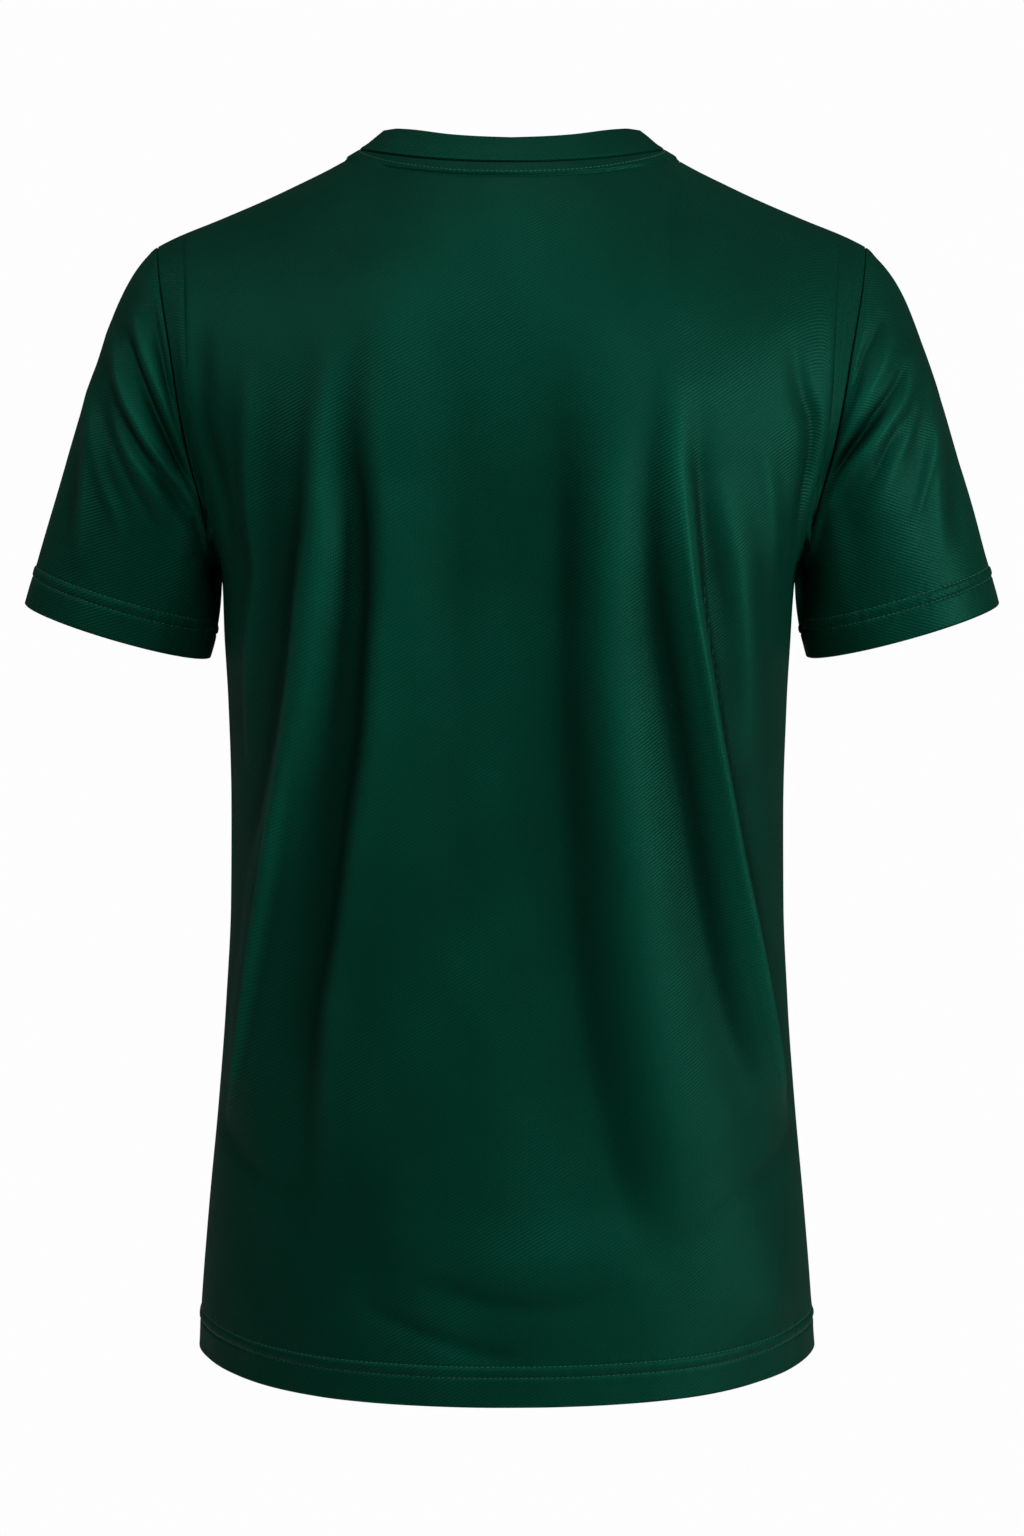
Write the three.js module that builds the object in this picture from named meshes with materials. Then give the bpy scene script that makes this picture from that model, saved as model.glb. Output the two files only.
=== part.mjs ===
// A short-sleeved crew-neck sports T-shirt, men's medium, in smooth green
// polyester knit. It keeps the open, filled-out form that it has when it is worn
// and nobody is in it: neck, hem, cuffs and armholes are all open.
//
// Millimetres, +Z up, the garment's front towards -Y and its back towards +Y.
// The origin is midway between the two high shoulder points, where the neck seam
// crosses the shoulder seams. The wearer's shoulders hold the shirt up there.
//
// Five pieces are cut and sewn: back, front, two sleeves and the neckband.
// Each one is a cloth wall, and the pieces stand a hair apart along the seams.

import * as THREE from "three";

// ---------------------------------------------------------------- main sizes
const CLOTH = 1.5; // wall of one layer of cloth, with its loft
const HEM_CLOTH = 2.2; // wall where a hem is turned up
const BAND_CLOTH = 2.0; // folded neckband
const SEAM_GAP = 0.3; // between two pieces along a seam
const BAND_GAP = 0.6; // between the neck seam and the neckband
const SLEEVE_GAP = 0.4; // between an armhole edge and its sleeve, along it
const SLEEVE_CLEAR = 0.4; // and square to the armhole
const HEM_DEPTH = 24; // turned-up hem of the body and of the sleeves
const NECK_STRIP = 8.5; // topstitched strip of the body below the neckband
const NECK_STRIP_RISE = 0.9; // the seam allowance under it lifts it this much
const NECK_STRIP_STEP = 2; // over which it falls back to the panel

const ARMPIT_Z = -240; // where side seam, armhole and underarm seam meet
const SEAM_Y = -6; // the shoulder seam lies a little forward of the crest
const HPS = { x: 86.5, z: -0.4 }; // high shoulder point, at the neck seam
const SHOULDER = { x: 202, z: -54.5 }; // outer end of the shoulder seam

// Level sections of the body. shift is how far the section hangs to the wearer's
// left, back and front are the depths of the two panels, and square says how
// much fuller than an ellipse (2) the section is.
const BODY = [
  { z: -705, half: 180.2, shift: 2.9, back: 133, front: 127, square: 2.0 },
  { z: -691, half: 178.9, shift: 2.9, back: 132, front: 126, square: 2.0 },
  { z: -664, half: 177.3, shift: 3.2, back: 130, front: 125, square: 2.05 },
  { z: -605, half: 172.4, shift: 3.2, back: 126, front: 121, square: 2.1 },
  { z: -547, half: 166.8, shift: 3.1, back: 121, front: 117, square: 2.2 },
  { z: -488, half: 162.2, shift: 3.0, back: 118, front: 115, square: 2.3 },
  { z: -430, half: 159.3, shift: 2.8, back: 117, front: 115, square: 2.4 },
  { z: -372, half: 158.8, shift: 2.7, back: 118, front: 117, square: 2.55 },
  { z: -314, half: 160.2, shift: 2.6, back: 120, front: 120, square: 2.78 },
  { z: -279, half: 162.0, shift: 2.6, back: 122, front: 122, square: 2.92 },
  { z: -240, half: 164.0, shift: 2.0, back: 123.5, front: 123, square: 3.02 },
  { z: -220, half: 171.0, shift: 1.5, back: 124, front: 123, square: 2.92 },
  { z: -200, half: 179.0, shift: 1.2, back: 124, front: 123, square: 2.75 },
  { z: -180, half: 188.5, shift: 1.0, back: 124, front: 123, square: 2.55 },
  { z: -150, half: 206.0, shift: 0.8, back: 124, front: 122, square: 2.4 },
  { z: -100, half: 230.0, shift: 0.4, back: 124, front: 121, square: 2.3 },
  { z: -50, half: 245.0, shift: 0.2, back: 124, front: 120, square: 2.3 },
  { z: 30, half: 260.0, shift: 0.0, back: 124, front: 120, square: 2.3 },
];

// Crest of the shoulders seen from behind: height over distance from the middle.
// Inside the neck hole it is the line that the neck slopes would follow.
const CREST = [
  { x: 0, z: 26 },
  { x: 30, z: 21.4 },
  { x: 60, z: 12.4 },
  { x: 86.5, z: -0.4 },
  { x: 98, z: -7.2 },
  { x: 107, z: -12 },
  { x: 116, z: -16.4 },
  { x: 140, z: -27.7 },
  { x: 167, z: -39.2 },
  { x: 192, z: -49.4 },
  { x: 202, z: -54.5 },
  { x: 240, z: -80 },
];

// How the two panels fall away from the crest: reach is the drop at which the
// full depth is met, and start and finish shape the curve at its two ends.
const FALL = {
  back: { reach: 215, finish: 2.1, start: 1.7 },
  front: { reach: 285, finish: 2.1, start: 1.5 },
};

// Armhole seams: distance from the middle over height, on the two panels.
const ARMHOLE = [
  { z: -240, back: 164.0, front: 164.0 },
  { z: -228, back: 167.4, front: 165.6 },
  { z: -215, back: 170.3, front: 167.4 },
  { z: -198, back: 174.1, front: 170.2 },
  { z: -178, back: 179.4, front: 173.6 },
  { z: -159, back: 183.6, front: 177.0 },
  { z: -138, back: 187.4, front: 180.6 },
  { z: -116, back: 191.0, front: 185.0 },
  { z: -98, back: 194.4, front: 189.4 },
  { z: -75, back: 198.8, front: 195.8 },
  { z: -54.5, back: 202.0, front: 202.0 },
];

// Hem edge and neck seam of the two panels, in the middle and at the sides.
const HEM_SIDE_Z = -689.5;
const HEM_CORNER = 5; // how late the hem edge turns up towards the side seams
const PANELS = {
  back: {
    sign: 1,
    hemMiddleZ: -698.1,
    neckMiddleZ: -7.7,
    neckRound: 2.2, // how square the neck seam's curve is
    neckRound2: 1,
    half: 19, // columns from the middle to the side
    neckHalf: 7, // of which on the neck seam
    rowsBelow: 11, // rows between hem and armpit
    rowsAbove: 12, // rows between armpit and shoulder
  },
  front: {
    sign: -1,
    hemMiddleZ: -694,
    neckMiddleZ: -72,
    neckRound: 2,
    neckRound2: 1.9,
    half: 17,
    neckHalf: 8,
    rowsBelow: 11,
    rowsAbove: 12,
  },
};

// Largest folds of the body, each a line down the panel. x and z are the line's
// points seen square on (x to the wearer's left), rise is how far the cloth
// stands out (a ridge) or in (a trough) there, and left and right are how far
// the flanks reach to the wearer's left and right.
const FOLDS = {
  back: [
    {
      name: "right blade ridge",
      left: 20,
      right: 24,
      line: [
        { x: -91, z: -150, rise: 0 },
        { x: -100, z: -200, rise: 5 },
        { x: -110, z: -262, rise: 7.5 },
        { x: -121, z: -335, rise: 8.5 },
        { x: -133, z: -410, rise: 7.5 },
        { x: -144, z: -470, rise: 4.5 },
        { x: -152, z: -530, rise: 0 },
      ],
    },
    {
      name: "right inner ridge",
      left: 24,
      right: 26,
      line: [
        { x: -59, z: -150, rise: 0 },
        { x: -62, z: -220, rise: 4.5 },
        { x: -67, z: -300, rise: 7 },
        { x: -77, z: -385, rise: 7.5 },
        { x: -89, z: -460, rise: 6 },
        { x: -104, z: -530, rise: 3 },
        { x: -118, z: -590, rise: 0 },
      ],
    },
    {
      name: "left blade ridge",
      left: 24,
      right: 30,
      line: [
        { x: 103, z: -150, rise: 0 },
        { x: 109, z: -215, rise: 6 },
        { x: 121, z: -290, rise: 8 },
        { x: 132, z: -350, rise: 8 },
        { x: 143, z: -420, rise: 6 },
        { x: 152, z: -490, rise: 3 },
        { x: 158, z: -540, rise: 0 },
      ],
    },
    {
      name: "left inner ridge",
      left: 24,
      right: 34,
      line: [
        { x: 58, z: -150, rise: 0 },
        { x: 60, z: -215, rise: 3.5 },
        { x: 64, z: -290, rise: 5.5 },
        { x: 72, z: -370, rise: 5.5 },
        { x: 84, z: -450, rise: 4 },
        { x: 98, z: -520, rise: 0 },
      ],
    },
  ],
  front: [
    {
      name: "left chest ridge",
      left: 24,
      right: 26,
      line: [
        { x: 96, z: -190, rise: 0 },
        { x: 101, z: -255, rise: 5 },
        { x: 110, z: -330, rise: 7.5 },
        { x: 121, z: -410, rise: 7 },
        { x: 134, z: -490, rise: 4 },
        { x: 146, z: -560, rise: 0 },
      ],
    },
    {
      name: "left inner ridge",
      left: 26,
      right: 32,
      line: [
        { x: 54, z: -235, rise: 0 },
        { x: 57, z: -310, rise: 4 },
        { x: 64, z: -400, rise: 6 },
        { x: 76, z: -490, rise: 5 },
        { x: 90, z: -580, rise: 0 },
      ],
    },
    {
      name: "right chest ridge",
      left: 28,
      right: 24,
      line: [
        { x: -92, z: -185, rise: 0 },
        { x: -99, z: -250, rise: 5.5 },
        { x: -112, z: -330, rise: 7.5 },
        { x: -127, z: -415, rise: 6 },
        { x: -141, z: -490, rise: 3 },
        { x: -150, z: -545, rise: 0 },
      ],
    },
    {
      name: "right inner ridge",
      left: 30,
      right: 26,
      line: [
        { x: -44, z: -250, rise: 0 },
        { x: -50, z: -330, rise: 4.5 },
        { x: -61, z: -420, rise: 6 },
        { x: -76, z: -510, rise: 4 },
        { x: -92, z: -600, rise: 0 },
      ],
    },
  ],
};

// Sleeve: the hem ring, seen square on, and how the cloth leaves the armhole.
const SLEEVE = {
  hemOuter: { x: 279.6, z: -258 },
  hemInner: { left: { x: 173.8, z: -289.5 }, right: { x: 169.6, z: -289 } },
  hemDepth: 56, // half the ring's depth, front to back
  hemY: -3, // middle of the ring
  hemBackDrop: 1, // the back of the ring hangs this much lower than its middle
  rings: 9, // from the armhole to the hem's stitching
};
// Direction in which the sleeve leaves the armhole: out of the armhole's plane,
// away from its middle and down it, going round from the shoulder point (0) to
// the armpit (180). cap and hang are the shares of the length over which the
// cloth keeps to that direction, and over which it already hangs as at the hem.
const SLEEVE_START = [
  { turn: 0, out: 0.86, away: 0, down: 0.51, cap: 0.135, hang: 0.81 },
  { turn: 45, out: 0.86, away: 0.16, down: 0.46, cap: 0.16, hang: 0.66 },
  { turn: 90, out: 0.8, away: 0.22, down: 0.52, cap: 0.27, hang: 0.44 },
  { turn: 135, out: 0.55, away: 0.14, down: 0.8, cap: 0.36, hang: 0.3 },
  { turn: 180, out: 0.2, away: 0, down: 0.98, cap: 0.5, hang: 0.25 },
];
// Folds of a sleeve, from the outer arm down to the armpit, seen square on and
// measured outwards from the middle of the shirt.
const SLEEVE_FOLDS = [
  {
    name: "upper underarm trough",
    left: 8,
    right: 9,
    line: [
      { x: 214, z: -95, rise: 0 },
      { x: 206, z: -125, rise: -3.5 },
      { x: 195, z: -150, rise: -5 },
      { x: 184, z: -178, rise: -4.5 },
      { x: 176, z: -205, rise: 0 },
    ],
  },
  {
    name: "lower underarm trough",
    left: 9,
    right: 10,
    line: [
      { x: 226, z: -120, rise: 0 },
      { x: 216, z: -158, rise: -3.5 },
      { x: 202, z: -184, rise: -5 },
      { x: 189, z: -205, rise: -4.5 },
      { x: 179, z: -226, rise: 0 },
    ],
  },
];

// Neckband: height along the cloth, and by how many degrees it stands up from
// the slope of the panel that it is sewn to, going round from the middle of the
// back (0) over the shoulder (90) to the middle of the front (180).
const BAND = [
  { turn: 0, height: 16.9, rise: 3 },
  { turn: 45, height: 17.3, rise: 1 },
  { turn: 80, height: 18.4, rise: -4 },
  { turn: 92, height: 18.4, rise: 0 },
  { turn: 105, height: 17.8, rise: 6 },
  { turn: 135, height: 17.4, rise: 9 },
  { turn: 180, height: 17.0, rise: 7 },
];
const BAND_ROWS = 3;
const BAND_BOW = 0.6; // its face is a little full between its two edges

// ------------------------------------------------------------------- helpers
const clamp = (v, lo, hi) => Math.min(hi, Math.max(lo, v));
const mix = (a, b, t) => a + (b - a) * t;
const ease = (t) => {
  const c = clamp(t, 0, 1);
  return c * c * (3 - 2 * c);
};

// A smooth curve through a table's rows that never overshoots between them.
function curve(table, along, value) {
  const rows = [...table].sort((a, b) => a[along] - b[along]);
  const x = rows.map((r) => r[along]);
  const y = rows.map((r) => r[value]);
  const n = x.length;
  const d = x.slice(1).map((v, i) => (y[i + 1] - y[i]) / (v - x[i]));
  const m = y.map((_, i) => {
    if (i === 0) return d[0];
    if (i === n - 1) return d[n - 2];
    if (d[i - 1] * d[i] <= 0) return 0;
    const a = x[i] - x[i - 1];
    const b = x[i + 1] - x[i];
    const w1 = 2 * b + a;
    const w2 = b + 2 * a;
    return (w1 + w2) / (w1 / d[i - 1] + w2 / d[i]);
  });
  return (v) => {
    const c = clamp(v, x[0], x[n - 1]);
    let i = 0;
    while (i < n - 2 && c > x[i + 1]) i += 1;
    const h = x[i + 1] - x[i];
    const t = (c - x[i]) / h;
    const t2 = t * t;
    const t3 = t2 * t;
    return (
      y[i] * (2 * t3 - 3 * t2 + 1) +
      m[i] * h * (t3 - 2 * t2 + t) +
      y[i + 1] * (3 * t2 - 2 * t3) +
      m[i + 1] * h * (t3 - t2)
    );
  };
}

// Points of a line, as many steps as asked for, all equally far apart.
function evenly(line, steps) {
  const fine = 400;
  const points = Array.from({ length: fine + 1 }, (_, i) => line(i / fine));
  const run = [0];
  for (let i = 1; i <= fine; i += 1)
    run.push(run[i - 1] + points[i].distanceTo(points[i - 1]));
  return Array.from({ length: steps + 1 }, (_, k) => {
    const want = (k / steps) * run[fine];
    let i = 1;
    while (i < fine && run[i] < want) i += 1;
    const t = (want - run[i - 1]) / (run[i] - run[i - 1]);
    return points[i - 1].clone().lerp(points[i], t);
  });
}

const bodyHalf = curve(BODY, "z", "half");
const bodyShift = curve(BODY, "z", "shift");
const bodyDepth = {
  back: curve(BODY, "z", "back"),
  front: curve(BODY, "z", "front"),
};
const bodySquare = curve(BODY, "z", "square");
const crest = curve(CREST, "x", "z");
const armholeX = {
  back: curve(ARMHOLE, "z", "back"),
  front: curve(ARMHOLE, "z", "front"),
};

// Share of the full depth that a panel has at a drop below the crest.
function fall(name, drop) {
  const { reach, finish, start } = FALL[name];
  const t = clamp(drop / reach, 0, 1);
  return Math.pow(1 - Math.pow(1 - t, finish), 1 / start);
}

// Depth of a panel at a place seen square on: x from the section's own middle.
function depthAt(name, x, z) {
  const share = Math.min(1, Math.abs(x) / bodyHalf(z));
  const n = bodySquare(z);
  const ring =
    bodyDepth[name](z) * Math.pow(Math.max(0, 1 - Math.pow(share, n)), 1 / n);
  const sign = PANELS[name].sign;
  const side = clamp((z - ARMPIT_Z) / 60, 0, 1); // the seam line moves forward
  const seam = SEAM_Y * ease(side);
  return mix(seam, sign * ring, fall(name, crest(Math.abs(x)) - z));
}

// How far the cloth stands out at a place seen square on.
function foldRise(folds, x, z) {
  let total = 0;
  for (const fold of folds) {
    let best = null;
    for (let i = 0; i + 1 < fold.line.length; i += 1) {
      const a = fold.line[i];
      const b = fold.line[i + 1];
      const dx = b.x - a.x;
      const dz = b.z - a.z;
      const t = clamp(
        ((x - a.x) * dx + (z - a.z) * dz) / (dx * dx + dz * dz),
        0,
        1,
      );
      const px = x - (a.x + t * dx);
      const pz = z - (a.z + t * dz);
      const far = Math.hypot(px, pz);
      if (!best || far < best.far)
        best = { far, side: px, rise: mix(a.rise, b.rise, ease(t)) };
    }
    const reach = best.side > 0 ? fold.left : fold.right;
    const s = best.far / reach;
    total += best.rise * Math.exp(-s * s * 1.4);
  }
  return total;
}

// ---------------------------------------------------- the body panels' sheets
// A sheet is a grid of points [row][column], the cloth's outer face.
function panelSheet(name) {
  const p = PANELS[name];
  const columns = 2 * p.half + 1;
  const rows = p.rowsBelow + p.rowsAbove + 1;
  const shoulderHalf = p.half - p.neckHalf;

  // Top edge, from the middle outwards: neck seam, then shoulder seam.
  const neck = evenly((t) => {
    const x = HPS.x * Math.sin((t * Math.PI) / 2);
    const drop = Math.pow(1 - Math.pow(x / HPS.x, p.neckRound), 1 / p.neckRound2);
    const z = mix(HPS.z, p.neckMiddleZ, drop);
    return new THREE.Vector3(x, depthAt(name, x, z), z);
  }, p.neckHalf);
  const top = (k) => {
    if (k <= p.neckHalf) return { x: neck[k].x, z: neck[k].z };
    const x = mix(HPS.x, SHOULDER.x, (k - p.neckHalf) / shoulderHalf);
    return { x, z: crest(x) };
  };
  const side = (v) => {
    const z = mix(ARMPIT_Z, SHOULDER.z, Math.sin((v * Math.PI) / 2) ** 1.15);
    return { x: armholeX[name](z), z };
  };
  const bottom = (s) => bodyHalf(ARMPIT_Z) * Math.sin((s * Math.PI) / 2);

  // The panel above the armpit: column k, and v from the armpit (0) to the top.
  const upper = (k, v) => {
    const s = k / p.half;
    const up = Math.sin((v * Math.PI) / 2);
    const t = top(k);
    const e = side(v);
    const far = top(p.half);
    return {
      x: mix(bottom(s), t.x, up) + s * (e.x - mix(bottom(1), far.x, up)),
      z: mix(ARMPIT_Z, t.z, up) + s * (e.z - mix(ARMPIT_Z, far.z, up)),
    };
  };
  // The v at which a column is a given length away from its top end.
  const below = (k, length) => {
    const at = (v) => {
      const { x, z } = upper(k, v);
      return new THREE.Vector3(x, depthAt(name, x, z), z);
    };
    const end = at(1);
    let lo = 0;
    let hi = 1;
    for (let n = 0; n < 40; n += 1) {
      const v = (lo + hi) / 2;
      if (at(v).distanceTo(end) > length) lo = v;
      else hi = v;
    }
    return lo;
  };
  const stripAt = [];
  const stepAt = [];
  for (let k = 0; k <= p.half; k += 1) {
    stripAt.push(below(k, NECK_STRIP));
    stepAt.push(below(k, NECK_STRIP + NECK_STRIP_STEP));
  }

  const grid = [];
  for (let j = 0; j < rows; j += 1) {
    const row = [];
    for (let i = 0; i < columns; i += 1) {
      const k = Math.abs(i - p.half);
      const way = Math.sign(i - p.half);
      const s = k / p.half;
      let x;
      let z;
      if (j <= p.rowsBelow) {
        const share = Math.sin((s * Math.PI) / 2);
        const hem = mix(p.hemMiddleZ, HEM_SIDE_Z, Math.pow(share, HEM_CORNER));
        const stitch = HEM_DEPTH / (ARMPIT_Z - hem);
        const t = j === 0 ? 0 : mix(stitch, 1, (j - 1) / (p.rowsBelow - 1));
        z = mix(hem, ARMPIT_Z, t);
        x = bodyHalf(z) * share;
      } else {
        // The last rows bound the neck strip and the step below it.
        const level = j - p.rowsBelow;
        const m = p.rowsAbove - 2;
        const v =
          level === p.rowsAbove
            ? 1
            : level > m
              ? stripAt[k]
              : (stepAt[k] * level) / m;
        ({ x, z } = upper(k, v));
      }
      row.push(bodyPoint(name, way * x, z, s, j));
    }
    grid.push(row);
  }
  return settleSeams(name, grid);
}

// A point of a panel's outer face. The seams lie exactly where they belong.
function bodyPoint(name, x, z, s, j) {
  const p = PANELS[name];
  const seam = p.sign * (SEAM_GAP / 2);
  const last = p.rowsBelow + p.rowsAbove;
  let y = depthAt(name, x, z);
  if (s === 1 && j <= p.rowsBelow) y = seam;
  if (j === last && Math.abs(x) >= HPS.x - 0.01) y = SEAM_Y + seam;
  return new THREE.Vector3(x + bodyShift(z), y, z);
}

// Normals of a sheet, out of the garment.
function sheetNormals(grid, closed) {
  const rows = grid.length;
  const columns = grid[0].length;
  return grid.map((row, j) =>
    row.map((_, i) => {
      const left = grid[j][closed ? (i - 1 + columns) % columns : Math.max(i - 1, 0)];
      const right = grid[j][closed ? (i + 1) % columns : Math.min(i + 1, columns - 1)];
      const below = grid[Math.max(j - 1, 0)][i];
      const above = grid[Math.min(j + 1, rows - 1)][i];
      return new THREE.Vector3()
        .subVectors(right, left)
        .cross(new THREE.Vector3().subVectors(above, below))
        .normalize();
    }),
  );
}

// The meeting of two edges: the point halfway, and the way out of the cloth.
const between = (a, b) => ({
  at: a.at.clone().lerp(b.at, 0.5),
  square: a.square.clone().add(b.square).normalize(),
});

// Adds the folds and the raised strip along the neck seam, square to the cloth.
function settleSeams(name, grid) {
  const p = PANELS[name];
  const columns = grid[0].length;
  const last = grid.length - 1;
  const normals = sheetNormals(grid, false);
  return grid.map((row, j) =>
    row.map((point, i) => {
      const k = Math.abs(i - p.half);
      const s = k / p.half;
      const edge = ease((1 - s) / 0.16) * ease((last - j) / 4);
      let rise = foldRise(FOLDS[name], point.x - bodyShift(point.z), point.z) * edge;
      if (k <= p.neckHalf && j >= last - 1) rise += NECK_STRIP_RISE;
      const n = normals[j][i].clone().multiplyScalar(p.sign === 1 ? -1 : 1);
      if (s === 1 && j <= p.rowsBelow) n.y = 0;
      return point.clone().addScaledVector(n, rise);
    }),
  );
}

// ------------------------------------------------------------- sleeve sheets
// The armhole edge of the two panels, from the shoulder point over the back to
// the armpit and up the front again, on the wearer's left.
function armholeEdge(back, front, way) {
  const edge = (name, grid) => {
    const p = PANELS[name];
    const column = way > 0 ? 2 * p.half : 0;
    const normals = sheetNormals(grid, false);
    return grid.slice(p.rowsBelow).map((row, j) => ({
      at: row[column],
      square: normals[j + p.rowsBelow][column].clone().multiplyScalar(-p.sign),
    }));
  };
  const b = edge("back", back).reverse();
  const f = edge("front", front);
  return [between(b[0], f[f.length - 1]), ...b.slice(1, -1), between(b[b.length - 1], f[0]), ...f.slice(1, -1)];
}

function sleeveSheet(back, front, way) {
  const hole = armholeEdge(back, front, way);
  const edge = hole.map(({ at }) => at);
  const count = edge.length;
  const mirror = (v) => new THREE.Vector3(way * v.x, v.y, v.z);
  const shoulder = mirror(edge[0]);
  const armpit = mirror(edge[count / 2]);
  const down = new THREE.Vector3().subVectors(armpit, shoulder).normalize();
  down.y = 0;
  down.normalize();
  const out = new THREE.Vector3(-down.z, 0, down.x);
  const middle = shoulder.clone().lerp(armpit, 0.5);
  const startOut = curve(SLEEVE_START, "turn", "out");
  const startAway = curve(SLEEVE_START, "turn", "away");
  const startDown = curve(SLEEVE_START, "turn", "down");
  const capShare = curve(SLEEVE_START, "turn", "cap");
  const hangShare = curve(SLEEVE_START, "turn", "hang");

  const within = way > 0 ? SLEEVE.hemInner.left : SLEEVE.hemInner.right;
  const inner = new THREE.Vector3(within.x, SLEEVE.hemY, within.z);
  const outer = new THREE.Vector3(SLEEVE.hemOuter.x, SLEEVE.hemY, SLEEVE.hemOuter.z);
  const hemMiddle = inner.clone().lerp(outer, 0.5);
  const across = new THREE.Vector3().subVectors(outer, hemMiddle);
  const along = new THREE.Vector3(across.z, 0, -across.x).normalize();
  const deep = new THREE.Vector3(0, SLEEVE.hemDepth, -SLEEVE.hemBackDrop);

  const rows = SLEEVE.rings + 2;
  const grid = Array.from({ length: rows }, () => []);
  // Round the armhole and round the hem: 0 at the top, 180 at the armpit, in
  // step with the length run along each half of the armhole.
  const run = [0];
  for (let k = 1; k <= count; k += 1)
    run.push(run[k - 1] + edge[k % count].distanceTo(edge[k - 1]));
  const turns = edge.map((_, k) =>
    k <= count / 2
      ? (run[k] / run[count / 2]) * 180
      : 180 + ((run[k] - run[count / 2]) / (run[count] - run[count / 2])) * 180,
  );
  for (let k = 0; k < count; k += 1) {
    const a = mirror(edge[k]);
    const turn = turns[k];
    const half = turn <= 180 ? turn : 360 - turn;
    const back1 = turn <= 180 ? 1 : -1;
    const rad = (turn * Math.PI) / 180;
    const away = new THREE.Vector3(0, back1, 0);
    const start = out
      .clone()
      .multiplyScalar(startOut(half))
      .addScaledVector(away, startAway(half))
      .addScaledVector(down, startDown(half))
      .normalize();
    const h = hemMiddle
      .clone()
      .addScaledVector(across, Math.cos(rad))
      .addScaledVector(deep, Math.sin(rad));
    const from = a
      .clone()
      .addScaledVector(start, SLEEVE_GAP)
      .addScaledVector(out, SLEEVE_CLEAR);
    const far = from.distanceTo(h);
    const bezier = new THREE.CubicBezierCurve3(
      from,
      from.clone().addScaledVector(start, far * capShare(half)),
      h.clone().addScaledVector(along, -far * hangShare(half)),
      h,
    );
    const stitch = 1 - Math.min(0.45, HEM_DEPTH / far);
    for (let j = 0; j < rows; j += 1) {
      const t = j === rows - 1 ? 1 : (j / SLEEVE.rings) * stitch;
      grid[j].push(bezier.getPoint(t));
    }
  }
  // Folds, square to the cloth, gone at the armhole and at the hem.
  const normals = sheetNormals(grid, true);
  const settled = grid.map((row, j) =>
    row.map((point, k) => {
      const calm = ease(j / 2) * ease((rows - 2 - j) / 2);
      const turn = turns[k];
      const over = Math.abs(Math.sin((turn * Math.PI) / 180)) ** 0.5;
      const rise = foldRise(SLEEVE_FOLDS, point.x, point.z) * calm * over;
      return point.clone().addScaledVector(normals[j][k], -rise);
    }),
  );
  // At the armhole its wall lies as the panels' walls do, over the shoulder.
  const lies = hole.map(({ square }, k) => ({
    square,
    share: ease(1 - Math.min(turns[k], 360 - turns[k]) / 130),
  }));
  return { grid: settled.map((row) => row.map(mirror)), lies };
}

// ------------------------------------------------------------ neckband sheet
// A direction evened out with its neighbours round a ring.
function eased(ring, k) {
  const total = new THREE.Vector3();
  for (let d = -2; d <= 2; d += 1)
    total.addScaledVector(ring[(k + d + ring.length) % ring.length], 3 - Math.abs(d));
  return total.normalize();
}

function bandSheet(back, front) {
  const neck = (name, grid) => {
    const p = PANELS[name];
    const normals = sheetNormals(grid, false);
    const last = grid.length - 1;
    const cells = [];
    for (let i = p.half - p.neckHalf; i <= p.half + p.neckHalf; i += 1)
      cells.push({
        at: grid[last][i].clone(),
        square: normals[last][i].clone().multiplyScalar(-p.sign),
      });
    return cells;
  };
  const b = neck("back", back);
  const f = neck("front", front).reverse();
  // From the wearer's right shoulder over the back to the left, then the front.
  const right = between(b[0], f[f.length - 1]);
  const left = between(b[b.length - 1], f[0]);
  const ring = [right, ...b.slice(1, -1), left, ...f.slice(1, -1)];
  const height = curve(BAND, "turn", "height");
  const rise = curve(BAND, "turn", "rise");
  const count = ring.length;
  const grid = Array.from({ length: BAND_ROWS + 1 }, () => []);
  const side = 2 * PANELS.back.neckHalf;
  const onwards = ring.map(({ square }, k) =>
    new THREE.Vector3()
      .subVectors(ring[(k + 1) % count].at, ring[(k - 1 + count) % count].at)
      .cross(square)
      .normalize(),
  );
  ring.forEach(({ at }, k) => {
    // 0 in the middle of the back, 90 at the shoulder seams, 180 in front.
    const turn =
      k <= side
        ? Math.abs(k / side - 0.5) * 180
        : 180 - Math.abs((k - side) / (count - side) - 0.5) * 180;
    const up = eased(onwards, k);
    const along = new THREE.Vector3().subVectors(
      ring[(k + 1) % count].at,
      ring[(k - 1 + count) % count].at,
    );
    const out = up.clone().cross(along).normalize();
    const r = (rise(turn) * Math.PI) / 180;
    for (let j = 0; j <= BAND_ROWS; j += 1) {
      const t = j / BAND_ROWS;
      const bow = BAND_BOW * Math.sin(Math.PI * t);
      const far = t * height(turn);
      grid[j].push(
        at
          .clone()
          .addScaledVector(up, BAND_GAP + far * Math.cos(r))
          .addScaledVector(out, far * Math.sin(r) + bow),
      );
    }
  });
  return grid;
}

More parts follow.
